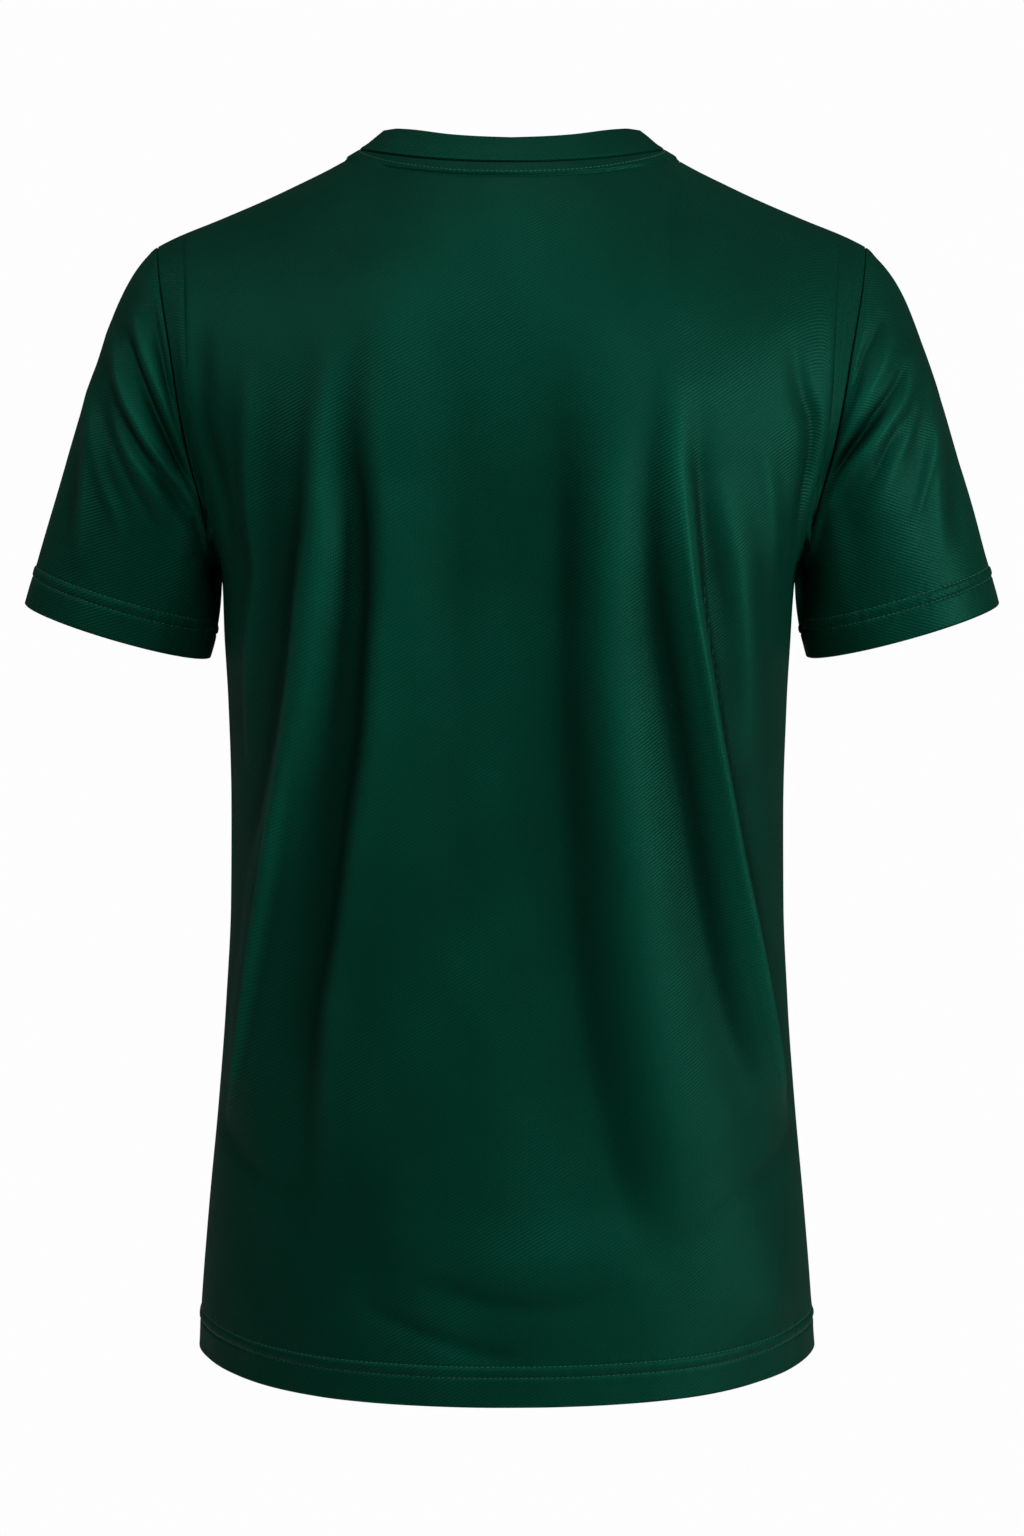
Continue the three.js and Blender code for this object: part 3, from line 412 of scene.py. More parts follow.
def shell(name, P, N, thick, edge_of, closed, cut, material, shade=None):
    """Closes a grid of outer points P into one thin body. thick is the wall at each point. edge_of(loop index) gives
    for each edge point the radius at which it turns in, the allowance below that, the gap that it keeps and how far
    the allowance leans over.
    The inner side has half as many rows and columns. cut is the flat cloth coordinate of each point, in metres."""
    rows, columns = P.shape[:2]
    flat_P, flat_N, flat_T = P.reshape(-1, 3).copy(), N.reshape(-1, 3), thick.ravel()
    flat_cut = cut.reshape(-1, 2)
    loops = loops_of(rows, columns, closed)
    rings, ring_cut = [], []
    for k, loop in enumerate(loops):
        here, n = flat_P[loop], flat_N[loop]
        along = np.roll(here, -1, axis=0) - np.roll(here, 1, axis=0)
        e = unit(np.cross(along, n))
        centre = flat_P[loop] - flat_P[edge_inner(loop, rows, columns, closed, k)]
        e = e * np.where((e * centre).sum(-1) < 0, -1.0, 1.0)[:, None]
        radius, deep, gap, lean = (x[:, None] for x in edge_of(k, loop))
        base = here - e * (radius + gap)
        flat_P[loop] = base
        fold_back = deep <= 0
        steps = []
        for turn, turn_back in ((30, 40), (60, 80), (90, 115)):
            t = np.radians(np.where(fold_back, turn_back, turn))
            steps.append(base + e * radius * np.sin(t) - n * radius * (1 - np.cos(t)))
        bend = 1.5
        for turn_back, lower, aside in ((132, bend, 0.0 * lean), (150, deep, lean)):
            t = np.radians(turn_back)
            rolled = base + e * radius * np.sin(t) - n * radius * (1 - np.cos(t))
            steps.append(np.where(fold_back, rolled, base + e * (radius + aside) - n * (radius + lower)))
        t = np.radians(165)
        rolled = base + e * radius * np.sin(t) - n * radius * (1 - np.cos(t))
        tip = np.where(fold_back, rolled, base + e * (radius + lean - CLOTH) - n * (radius + deep))
        t = np.radians(174)
        rolled = base + e * radius * np.sin(t) - n * radius * (1 - np.cos(t))
        waist = np.where(fold_back, rolled, base + e * (radius - CLOTH) - n * (radius + bend + 0.06 * lean))
        rings.append((loop, steps, tip[::2], waist[::2]))
        ring_cut.append(flat_cut[loop])
    keep_j = np.arange(0, rows, 2)
    keep_i = np.arange(0, columns, 2)
    inner_index = (keep_j[:, None] * columns + keep_i[None, :]).ravel()
    inner_P = flat_P[inner_index] - flat_N[inner_index] * flat_T[inner_index, None]
    place = {int(v): m for m, v in enumerate(inner_index)}

    # painted fold shade at each point: paler colour on the crests and darker in the hollows on the outer side, the
    # other way round on the inner side, none on the edges' tips and waists
    flat_shade = np.zeros(len(flat_P)) if shade is None else shade.ravel()
    verts, uvs, shades = [flat_P], [flat_cut], [flat_shade]
    count = len(flat_P)
    quads, tris = [], []
    at = np.arange(rows * columns).reshape(rows, columns)
    right = np.roll(at, -1, axis=1) if closed else at[:, 1:]
    left = at if closed else at[:, :-1]
    quads.append(np.stack([left[:-1], right[:-1], right[1:], left[1:]], axis=-1).reshape(-1, 4))
    ends = []
    for (loop, steps, tip, waist), rc in zip(rings, ring_cut):
        before = loop
        for s in steps:
            now = count + np.arange(len(s))
            verts.append(s), uvs.append(rc), shades.append(flat_shade[loop])
            count += len(s)
            nb, nn = np.roll(before, -1), np.roll(now, -1)
            quads.append(np.stack([nb, before, now, nn], axis=-1))
            before = now
        tips = count + np.arange(len(tip))
        verts.append(tip), uvs.append(rc[::2]), shades.append(np.zeros(len(tip)))
        count += len(tip)
        d0, d1, d2 = before[::2], before[1::2], np.roll(before, -2)[::2]
        nt = np.roll(tips, -1)
        tris += [np.stack([d1, d0, tips], axis=-1), np.stack([d1, tips, nt], axis=-1), np.stack([d2, d1, nt], axis=-1)]
        waists = count + np.arange(len(waist))
        verts.append(waist), uvs.append(rc[::2]), shades.append(np.zeros(len(waist)))
        count += len(waist)
        ends.append((loop, tips, waists))
    inner_start = count
    verts.append(inner_P), uvs.append(flat_cut[inner_index]), shades.append(-flat_shade[inner_index])
    m = inner_start + np.arange(len(inner_index)).reshape(len(keep_j), len(keep_i))
    mr = np.roll(m, -1, axis=1) if closed else m[:, 1:]
    ml = m if closed else m[:, :-1]
    quads.append(np.stack([ml[:-1], ml[1:], mr[1:], mr[:-1]], axis=-1).reshape(-1, 4))
    for loop, tips, waists in ends:
        rim = np.array([inner_start + place[int(v)] for v in loop[::2]])
        quads.append(np.stack([np.roll(tips, -1), tips, waists, np.roll(waists, -1)], axis=-1))
        quads.append(np.stack([np.roll(waists, -1), waists, rim, np.roll(rim, -1)], axis=-1))
    V = np.concatenate(verts)
    UV = np.concatenate(uvs)
    Q, T = np.concatenate(quads), np.concatenate(tris)
    # All faces are turned over together if the cloth came out inside out.
    mid = V[Q].mean(axis=1)
    area = np.cross(V[Q[:, 2]] - V[Q[:, 0]], V[Q[:, 3]] - V[Q[:, 1]])
    mid_t = V[T].mean(axis=1)
    area_t = np.cross(V[T[:, 1]] - V[T[:, 0]], V[T[:, 2]] - V[T[:, 0]])
    turned = (mid * area).sum() + (mid_t * area_t).sum() < 0
    if turned:
        Q, T = Q[:, ::-1], T[:, ::-1]
    # a flat map of the whole piece, with no part over another: the outer side, the inner side, then the turned edges
    row_at, column_at = np.arange(rows) / (rows - 1), np.arange(columns + 1) / (columns if closed else columns - 1)
    wide, high = (0.005, 0.655), (0.005, 0.995)
    flat = []
    w = columns if closed else columns - 1
    jj, ii = np.arange(rows - 1)[:, None], np.arange(w)[None, :]
    u0, u1 = mix(*wide, column_at[ii] + 0.0 * jj), mix(*wide, column_at[ii + 1] + 0.0 * jj)
    v0, v1 = mix(*high, row_at[jj] + 0.0 * ii), mix(*high, row_at[jj + 1] + 0.0 * ii)
    flat.append(np.stack([np.stack(c, axis=-1) for c in ((u0, v0), (u1, v0), (u1, v1), (u0, v1))], axis=2).reshape(-1, 4, 2))
    bands = len(rings) * 8.0
    strip_at, tri_flat, close_flat = 0, [], []
    for loop, steps, _, _ in rings:
        n = len(loop)
        along = np.arange(n + 2) / n

        def strip(k):
            return 0.945 + 0.05 * (strip_at + k) / bands

        a0, a1, a2 = mix(*high, along[:n]), mix(*high, along[1: n + 1]), mix(*high, along[2: n + 2].clip(0, 1))
        for k in range(len(steps)):
            x0, x1 = strip(k) + 0 * a0, strip(k + 1) + 0 * a0
            flat.append(np.stack([np.stack(c, axis=-1) for c in ((x0, a1), (x0, a0), (x1, a0), (x1, a1))], axis=1))
        k = len(steps)
        x0, x1 = strip(k) + 0 * a0[::2], strip(k + 1) + 0 * a0[::2]
        b0, b1, b2 = a0[::2], a1[::2], a2[::2]
        tri_flat += [
            np.stack([np.stack(c, axis=-1) for c in ((x0, b1), (x0, b0), (x1, b0))], axis=1),
            np.stack([np.stack(c, axis=-1) for c in ((x0, b1), (x1, b0), (x1, b2))], axis=1),
            np.stack([np.stack(c, axis=-1) for c in ((x0, b2), (x0, b1), (x1, b2))], axis=1),
        ]
        x2, x3 = strip(k + 2) + 0 * b0, strip(k + 2.8) + 0 * b0
        close_flat.append(np.stack([np.stack(c, axis=-1) for c in ((x1, b2), (x1, b0), (x2, b0), (x2, b2))], axis=1))
        close_flat.append(np.stack([np.stack(c, axis=-1) for c in ((x2, b2), (x2, b0), (x3, b0), (x3, b2))], axis=1))
        strip_at += 8
    inner_rows, inner_columns = len(keep_j) - 1, len(keep_i) - (0 if closed else 1)
    jj, ii = np.arange(inner_rows)[:, None], np.arange(inner_columns)[None, :]
    u0, u1 = mix(0.665, 0.935, ii / inner_columns + 0.0 * jj), mix(0.665, 0.935, (ii + 1) / inner_columns + 0.0 * jj)
    v0, v1 = mix(*high, jj / inner_rows + 0.0 * ii), mix(*high, (jj + 1) / inner_rows + 0.0 * ii)
    flat.append(np.stack([np.stack(c, axis=-1) for c in ((u0, v0), (u0, v1), (u1, v1), (u1, v0))], axis=2).reshape(-1, 4, 2))
    flat = np.concatenate(flat + close_flat)
    tri_flat = np.concatenate(tri_flat)
    if turned:
        flat, tri_flat = flat[:, ::-1], tri_flat[:, ::-1]
    return make_mesh(name, V, Q, T, material, UV, np.concatenate([flat.reshape(-1, 2), tri_flat.reshape(-1, 2)]), np.concatenate(shades))


def edge_inner(loop, rows, columns, closed, k):
    """For each edge point, the grid point next to it inside the cloth."""
    j, i = loop // columns, loop % columns
    if closed:
        return (j + (1 if k == 0 else -1)) * columns + i
    jj = np.clip(j, 1, rows - 2)
    ii = np.clip(i, 1, columns - 2)
    return jj * columns + ii


def make_mesh(name, V, Q, T, material, UV=None, flat=None, shade=None):
    me = bpy.data.meshes.new(name)
    corner = np.concatenate([Q.ravel(), T.ravel()]).astype(np.int32)
    starts = np.concatenate([np.arange(len(Q)) * 4, len(Q) * 4 + np.arange(len(T)) * 3]).astype(np.int32)
    me.vertices.add(len(V))
    me.vertices.foreach_set("co", (V * 0.001).astype(np.float32).ravel())
    me.loops.add(len(corner))
    me.loops.foreach_set("vertex_index", corner)
    me.polygons.add(len(starts))
    me.polygons.foreach_set("loop_start", starts)
    me.polygons.foreach_set("use_smooth", np.ones(len(starts), bool))
    me.update(calc_edges=True)
    if UV is not None:
        layer = me.uv_layers.new(name="cloth")
        layer.uv.foreach_set("vector", UV[corner].astype(np.float32).ravel())
    if flat is not None:
        layer = me.uv_layers.new(name="OFBake")
        layer.uv.foreach_set("vector", flat.astype(np.float32).ravel())
    # painted fold shade, which the knit material reads as a factor on its colour
    if shade is not None:
        fold_at = me.attributes.new("fold", "FLOAT", "POINT")
        fold_at.data.foreach_set("value", shade.astype(np.float32))
    me.validate()
    me.materials.append(material)
    ob = bpy.data.objects.new(name, me)
    bpy.context.scene.collection.objects.link(ob)
    return ob


# -------------------------------------------------------------------- materials
def node(tree, kind, **values):
    n = tree.nodes.new(kind)
    for key, value in values.items():
        if key in n.inputs:
            n.inputs[key].default_value = value
        else:
            setattr(n, key, value)
    return n


def link(tree, a, out, b, into):
    tree.links.new(a.outputs[out], b.inputs[into])


def new_material(name):
    m = bpy.data.materials.new(name)
    m.use_nodes = True
    m.node_tree.nodes.clear()
    return m, m.node_tree


def knit(name, seed=0.0, turn=30.0):
    """Smooth interlock: fine slanting ribs in the cloth's own coordinates, a dusting of finer loops, faint uneven shade
    from dyeing and handling, painted shade that darkens the knit where it lies low between its ribs, painted fold shade
    that is paler on the folds and darker in the hollows, and the low, green-tinted gloss of filament polyester."""
    m, t = new_material(name)
    out = node(t, "ShaderNodeOutputMaterial")
    s = node(t, "ShaderNodeBsdfPrincipled")
    s.inputs["Roughness"].default_value = 0.5
    s.inputs["Specular IOR Level"].default_value = 0.28
    s.inputs["Specular Tint"].default_value = (0.05, 1.0, 0.62, 1)
    s.inputs["Sheen Weight"].default_value = 0.015
    s.inputs["Sheen Roughness"].default_value = 0.4
    s.inputs["Sheen Tint"].default_value = (0.2, 1.0, 0.7, 1)
    link(t, s, "BSDF", out, "Surface")

    uv = node(t, "ShaderNodeUVMap", uv_map="cloth")
    # ribs of the knit
    ribs_at = node(t, "ShaderNodeMapping")
    ribs_at.inputs["Rotation"].default_value = (0, 0, math.radians(90 + turn))
    ribs_at.inputs["Location"].default_value = (seed, seed * 0.7, 0)
    link(t, uv, "UV", ribs_at, "Vector")
    ribs = node(t, "ShaderNodeTexWave", wave_type="BANDS", bands_direction="X", wave_profile="SIN")
    ribs.inputs["Scale"].default_value = 2 * math.pi / 20 / 0.0018
    ribs.inputs["Distortion"].default_value = 1.1
    ribs.inputs["Detail"].default_value = 2.0
    ribs.inputs["Detail Scale"].default_value = 0.35
    ribs.inputs["Detail Roughness"].default_value = 0.6
    link(t, ribs_at, "Vector", ribs, "Vector")
    # where the ribs show more and less
    patch = node(t, "ShaderNodeTexNoise")
    patch.inputs["Scale"].default_value = 9.0
    patch.inputs["Detail"].default_value = 3.0
    link(t, uv, "UV", patch, "Vector")
    patch_range = node(t, "ShaderNodeMapRange")
    for key, value in (("From Min", 0.36), ("From Max", 0.66), ("To Min", 0.25), ("To Max", 1.0)):
        patch_range.inputs[key].default_value = value
    link(t, patch, "Fac", patch_range, "Value")
    # single loops
    loops = node(t, "ShaderNodeTexNoise")
    loops.inputs["Scale"].default_value = 1150.0
    loops.inputs["Detail"].default_value = 2.0
    loops.inputs["Roughness"].default_value = 0.6
    link(t, uv, "UV", loops, "Vector")
    # faint wales, straight along the grain
    wales = node(t, "ShaderNodeTexWave", wave_type="BANDS", bands_direction="X", wave_profile="SIN")
    wales.inputs["Scale"].default_value = 2 * math.pi / 20 / 0.0011
    wales.inputs["Distortion"].default_value = 0.6
    wales.inputs["Detail Scale"].default_value = 0.3
    link(t, uv, "UV", wales, "Vector")

    weave = node(t, "ShaderNodeMath", operation="MULTIPLY")
    link(t, ribs, "Fac", weave, 0)
    link(t, patch_range, "Result", weave, 1)
    plus = node(t, "ShaderNodeMath", operation="MULTIPLY_ADD")
    link(t, loops, "Fac", plus, 0)
    plus.inputs[1].default_value = 0.7
    link(t, weave, "Value", plus, 2)
    height = node(t, "ShaderNodeMath", operation="MULTIPLY_ADD")
    link(t, wales, "Fac", height, 0)
    height.inputs[1].default_value = 0.18
    link(t, plus, "Value", height, 2)
    fine = node(t, "ShaderNodeBump")
    fine.inputs["Strength"].default_value = 0.75
    fine.inputs["Distance"].default_value = 0.00022
    link(t, height, "Value", fine, "Height")
    # the soft unevenness of limp cloth
    soft = node(t, "ShaderNodeTexNoise")
    soft.inputs["Scale"].default_value = 26.0
    soft.inputs["Detail"].default_value = 2.5
    soft.inputs["Roughness"].default_value = 0.45
    link(t, uv, "UV", soft, "Vector")
    broad = node(t, "ShaderNodeBump")
    broad.inputs["Strength"].default_value = 0.22
    broad.inputs["Distance"].default_value = 0.003
    link(t, soft, "Fac", broad, "Height")
    link(t, fine, "Normal", broad, "Normal")
    link(t, broad, "Normal", s, "Normal")

    # colour: a slow drift of shade from the dye, and painted shade that makes the knit darker between its ribs and
    # loops, where it lies low
    shade = node(t, "ShaderNodeTexNoise")
    shade.inputs["Scale"].default_value = 7.0
    shade.inputs["Detail"].default_value = 5.0
    shade.inputs["Roughness"].default_value = 0.55
    link(t, uv, "UV", shade, "Vector")
    dye = node(t, "ShaderNodeMix", data_type="RGBA")
    dye.inputs["A"].default_value = (0.000774, 0.02623, 0.01479, 1)
    dye.inputs["B"].default_value = (0.001204, 0.03311, 0.01935, 1)
    link(t, shade, "Fac", dye, "Factor")
    # painted shade: the knit's colour follows the height of its ribs and loops, darker where they lie low and paler on
    # top
    painted_rib_shade = node(t, "ShaderNodeMapRange")
    for key, value in (("From Min", 0.1), ("From Max", 1.5), ("To Min", 0.55), ("To Max", 1.4)):
        painted_rib_shade.inputs[key].default_value = value
    link(t, height, "Value", painted_rib_shade, "Value")
    # fold shading painted into the colour, lighter on the folds and darker in the hollows: it isn't in the dye, it
    # adds to what the lights do
    fold_at = node(t, "ShaderNodeAttribute", attribute_name="fold")
    painted_fold_shade = node(t, "ShaderNodeMapRange")
    for key, value in (("From Min", -4.0), ("From Max", 5.0), ("To Min", 0.36), ("To Max", 1.8)):
        painted_fold_shade.inputs[key].default_value = value
    link(t, fold_at, "Fac", painted_fold_shade, "Value")
    both = node(t, "ShaderNodeMath", operation="MULTIPLY")
    link(t, painted_rib_shade, "Result", both, 0)
    link(t, painted_fold_shade, "Result", both, 1)
    tone = node(t, "ShaderNodeMix", data_type="RGBA", blend_type="MULTIPLY")
    tone.inputs["Factor"].default_value = 1.0
    link(t, dye, "Result", tone, "A")
    link(t, both, "Value", tone, "B")
    link(t, tone, "Result", s, "Base Color")
    # gloss: ribs are glossier than the gaps between them
    rough = node(t, "ShaderNodeMapRange")
    for key, value in (("From Min", 0.1), ("From Max", 1.5), ("To Min", 0.53), ("To Max", 0.45)):
        rough.inputs[key].default_value = value
    link(t, height, "Value", rough, "Value")
    link(t, rough, "Result", s, "Roughness")
    return m


def thread(name):
    m, t = new_material(name)
    out = node(t, "ShaderNodeOutputMaterial")
    s = node(t, "ShaderNodeBsdfPrincipled")
    s.inputs["Specular IOR Level"].default_value = 0.5
    s.inputs["Specular Tint"].default_value = (0.35, 0.95, 0.75, 1)
    s.inputs["Sheen Weight"].default_value = 0.1
    at = node(t, "ShaderNodeTexCoord")
    twist = node(t, "ShaderNodeTexNoise")
    twist.inputs["Scale"].default_value = 900.0
    link(t, at, "Object", twist, "Vector")
    # painted highlight: the thread is coloured a lighter green than the cloth, for the light that its strands catch
    c = node(t, "ShaderNodeMix", data_type="RGBA")
    c.inputs["A"].default_value = (0.010, 0.082, 0.051, 1)
    c.inputs["B"].default_value = (0.026, 0.150, 0.100, 1)
    link(t, twist, "Fac", c, "Factor")
    link(t, c, "Result", s, "Base Color")
    r = node(t, "ShaderNodeMapRange")
    r.inputs["To Min"].default_value = 0.35
    r.inputs["To Max"].default_value = 0.55
    link(t, twist, "Fac", r, "Value")
    link(t, r, "Result", s, "Roughness")
    link(t, s, "BSDF", out, "Surface")
    return m


KNIT = {n: knit("knit_" + n, seed) for n, seed in
        (("back", 0.0), ("front", 0.31), ("sleeve_left", 0.57), ("sleeve_right", 0.83), ("neckband", 0.12))}
THREAD = thread("thread")


# ------------------------------------------------------------- body panels' cloth
HEM_RUN = [0, 0.5, 1.2, 2.4, 4.2, 6.6, 9.2, 11.8, 14.0, 15.2, 15.8, 16.2, 16.6, 17.0, 17.4, 18.2, 19.2, 20.2, 21.2, 21.9,
           22.4, 22.8, 23.2, 23.7, 24.6, 26.2, 28.6]
TOP_RUN = [12.5, 11.6, 10.9, 10.4, 10.0, 9.6, 9.2, 8.8, 8.4, 8.0, 7.6, 7.2, 6.7, 5.8, 4.4, 2.9, 1.6, 0]
COLUMNS = 120  # on each side of the middle
ROWS_BELOW, ROWS_ABOVE = 148, 95
NECK_COLUMNS = {"back": 50, "front": 58}


def hem_profile(d, along, seed):
    """How the twin-needle hem stands: a puffed ridge between two pulled-in rows, with slight puckers along them."""
    low, high = HEM_ROWS
    gap = high - low
    ridge = 0.5 * np.clip(np.sin(np.pi * np.clip((d - low) / gap, 0, 1)), 0, 1) ** 0.7
    groove = -0.58 * np.exp(-(((d - low) / 0.75) ** 2)) - 0.52 * np.exp(-(((d - high) / 0.7) ** 2))
    turned = 0.35 * (1 - ease((d - high) / 1.6))
    pucker = waves(along, seed, (6.1, 8.7, 13.5), (0.07, 0.06, 0.07))
    near = np.exp(-(((d - low) / 4.0) ** 2)) + np.exp(-(((d - high) / 4.5) ** 2))
    fullness = waves(along, seed + 5, (31.0, 47.0), (0.10, 0.14)) * np.exp(-(((d - 8) / 9.0) ** 2))
    return ridge + groove + turned + pucker * near + fullness


def panel(name):
    p = PANELS[name]
    share_at_neck = p["neck_share"]
    nk = NECK_COLUMNS[name]
    k = np.arange(COLUMNS + 1)

    # the neck seam, from the middle to the high shoulder point, in equal steps
    t = np.linspace(0, 1, 600)
    x = HPS[0] * np.sin(t * np.pi / 2)
    drop = np.maximum(0, 1 - (x / HPS[0]) ** p["round"]) ** (1 / p["round2"])
    z = mix(HPS[1], p["neck"], drop)
    run = run_of(cloth_point(name, x, z))
    neck_x = curve_through(run / run[-1], x)
    neck_z = curve_through(run / run[-1], z)

    def top(s):
        inside = s <= share_at_neck
        f = np.clip(s / share_at_neck, 0, 1)
        xs = mix(HPS[0], SHOULDER[0], np.clip((s - share_at_neck) / (1 - share_at_neck), 0, 1))
        return np.where(inside, neck_x(f), xs), np.where(inside, neck_z(f), crest(xs))

    def upper(s, v):
        up = np.sin(v * np.pi / 2)
        tx, tz = top(s)
        ez = mix(ARMPIT_Z, SHOULDER[1], up**1.15)
        ex = armhole_x[name](ez)
        b = body_half(ARMPIT_Z)
        xs = mix(b * np.sin(s * np.pi / 2), tx, up) + s * (ex - mix(b, SHOULDER[0], up))
        zs = mix(ARMPIT_Z, tz, up) + s * (ez - mix(ARMPIT_Z, SHOULDER[1], up))
        return xs, zs

    # below the armpit: rows of equal steps round the cloth
    fine = np.linspace(0, 1, 900)

    def lower(d, s):
        share = np.sin(s * np.pi / 2)
        hem = mix(p["hem"], HEM_SIDE_Z, share**5)
        z28 = hem + HEM_RUN[-1]
        zs = hem + d if d <= HEM_RUN[-1] else mix(z28, ARMPIT_Z, (d - HEM_RUN[-1]) / 1000.0)
        return body_half(zs) * share, zs

    rows_x, rows_z = [], []
    below = HEM_RUN + [HEM_RUN[-1] + 1000.0 * (j + 1) / ROWS_BELOW for j in range(ROWS_BELOW)]
    s_level = None
    for d in below:
        xs, zs = lower(d, fine)
        run = run_of(np.stack([xs, depth_at(name, xs, zs), zs], axis=-1))
        s_level = np.interp(k / COLUMNS * run[-1], run, fine)
        xs, zs = lower(d, s_level)
        rows_x.append(xs), rows_z.append(zs)
    # above it: columns that lead to the high shoulder point and the shoulder's end
    s_top = np.where(k <= nk, share_at_neck * k / nk, share_at_neck + (1 - share_at_neck) * (k - nk) / (COLUMNS - nk))
    v = np.linspace(0, 1, 700)[:, None]
    s = mix(s_level[None, :], s_top[None, :], ease(v / 0.72))
    xs, zs = upper(s, v)
    pts = np.stack([xs, depth_at(name, xs, zs), zs], axis=-1)
    run = run_of(np.swapaxes(pts, 0, 1))  # columns first
    total = run[:, -1:]
    want = np.concatenate(
        [
            np.linspace(0, 1, ROWS_ABOVE + 1)[1:-1][None, :] * (total - TOP_RUN[0]),
            total - np.array(TOP_RUN)[None, :],
        ],
        axis=1,
    )
    vv = v[:, 0]
    for n in range(want.shape[1]):
        at_v = np.array([np.interp(want[c, n], run[c], vv) for c in range(COLUMNS + 1)])
        if n == want.shape[1] - 1:
            at_v[:] = 1
        sc = mix(s_level, s_top, ease(at_v / 0.72))
        x1, z1 = upper(sc, at_v)
        rows_x.append(x1), rows_z.append(z1)
    X, Z = np.array(rows_x), np.array(rows_z)
    X = np.concatenate([-X[:, :0:-1], X], axis=1)
    Z = np.concatenate([Z[:, :0:-1], Z], axis=1)
    rows, columns = X.shape
    P = cloth_point(name, X, Z)
    low_rows = len(below)
    last = rows - 1
    column = np.abs(np.arange(columns) - COLUMNS)
    P[:low_rows, 0, 1] = P[:low_rows, -1, 1] = 0.0
    P[last, column >= nk, 1] = SEAM_Y
    N = grid_normals(P, False)
    if N[rows // 2, COLUMNS, 1] * p["sign"] < 0:
        N = -N

    # how far each point is from the neck seam, the hem and the other seams
    A = across(name, X, Z)
    from_hem = np.repeat(np.minimum(np.array(below + [2000.0] * (rows - low_rows)), 400)[:, None], columns, axis=1)
    top_run = np.concatenate([np.full(rows - len(TOP_RUN), 99.0), np.array(TOP_RUN)])
    from_top = np.repeat(top_run[:, None], columns, axis=1)
    seam = P[last, np.abs(np.arange(columns) - COLUMNS) <= nk]
    seam = np.stack([curve_through(np.linspace(0, 1, len(seam)), seam[:, c])(np.linspace(0, 1, 500)) for c in range(3)], axis=-1)
    from_neck = np.full((rows, columns), 99.0)
    near_top = slice(rows - 34, rows)
    d = P[near_top][:, :, None, :] - seam[None, None, :, :]
    from_neck[near_top] = np.sqrt((d * d).sum(-1)).min(-1)
    side = (COLUMNS - column)[None, :] * 2.0
    down = np.concatenate([np.full(rows - 24, 99.0), (23 - np.arange(24)) * 2.2])[:, None]
    calm = ease(side / 13.0) * ease(down / 16.0) * ease((from_hem + 40) / 60)

    h = net_height(name, A, Z) if name in NETS else np.zeros((rows, columns))
    for f in FOLDS[name]:
        h += fold_height(A, Z, f, lambda fx, fz: across(name, fx, fz))
    seed = 11 if name == "back" else 23
    limp = (
        waves(A + 0.25 * Z, seed, (83.0, 57.0, 131.0), (0.22, 0.14, 0.30)) * waves(Z - 0.2 * A, seed + 1, (170.0, 96.0), (0.8, 0.5))
        + waves(A - 0.35 * Z, seed + 2, (39.0, 64.0), (0.10, 0.12))
    )
    h = (h + limp * ease(side / 60.0)) * calm
    # painted shade: how far each fold stands above the cloth around it; the knit material turns it into paler colour on
    # the crests and darker colour in the hollows
    shade = stand(h, False, (4, 7)) + 1.4 * stand(h, False, (2, 2))
    h += hem_profile(from_hem, A, seed + 3)
    strip = NECK_STRIP_RISE * (1 - ease((from_neck - NECK_STRIP + 0.3) / 1.1))
    strip -= 0.22 * np.exp(-(((from_neck - 7.2) / 0.5) ** 2))
    strip += waves(A, seed + 4, (5.3, 9.1), (0.05, 0.05)) * np.exp(-(((from_neck - 7.6) / 2.4) ** 2))
    strip -= 0.62 * np.exp(-(((from_neck - 9.4) / 1.0) ** 2))
    h += strip
    D = P + N * h[:, :, None]

    thick = np.where(from_hem < HEM_DEPTH, 2 * HEM_FOLD, CLOTH) + np.maximum(strip, 0)
    row_of, column_of = np.divmod(np.arange(rows * columns), columns)

    def edge_of(_, loop):
        # The allowances of the side and shoulder seams lie towards the back, those of the armholes and the neck
        # towards the body.
        hem = row_of[loop] == 0
        radius = np.where(hem, HEM_FOLD, ROLL)
        j, i = row_of[loop], np.abs(column_of[loop] - columns // 2)
        inwards = ((j > low_rows + 2) & (j < rows - 1)) | ((j == rows - 1) & (i <= nk))
        lean = np.where(inwards, -1.0, -1.0 if name == "back" else 1.0)
        weight = np.array([1, 2, 3, 4, 3, 2, 1.0]) / 16
        for _ in range(2):
            lean = sum(w * np.roll(lean, n - 3) for n, w in enumerate(weight))
        return radius, np.where(hem, 0.0, ALLOWANCE), np.where(hem, 0.0, GAP), LEAN * lean

    up = np.concatenate([np.zeros((1, columns)), np.cumsum(np.linalg.norm(np.diff(P, axis=0), axis=-1), axis=0)])
    cut = np.stack([A, up - 460.0], axis=-1) * 0.001
    ob = shell("cloth_" + name, D, N, thick, edge_of, False, cut, KNIT[name], shade)
    return dict(object=ob, P=P, N=N, D=D, rows=rows, columns=columns, low_rows=low_rows, nk=nk, below=below)


def curve_through(xs, ys):
    return lambda v: np.interp(v, xs, ys)


# ---------------------------------------------------------------------- sleeves
HEM_OUTER = (279.6, -258.0)
HEM_INNER = {1: (173.8, -289.5), -1: (169.6, -289.0)}
SLEEVE_HEM = dict(depth=56.0, y=-3.0, drop=1.0)
SLEEVE_START = {
    "turn": (0, 45, 90, 135, 180),
    "out": (0.86, 0.86, 0.8, 0.55, 0.2),
    "away": (0, 0.16, 0.22, 0.14, 0),
    "down": (0.51, 0.46, 0.52, 0.8, 0.98),
    "cap": (0.135, 0.16, 0.27, 0.36, 0.5),
    "hang": (0.81, 0.66, 0.44, 0.3, 0.25),
}
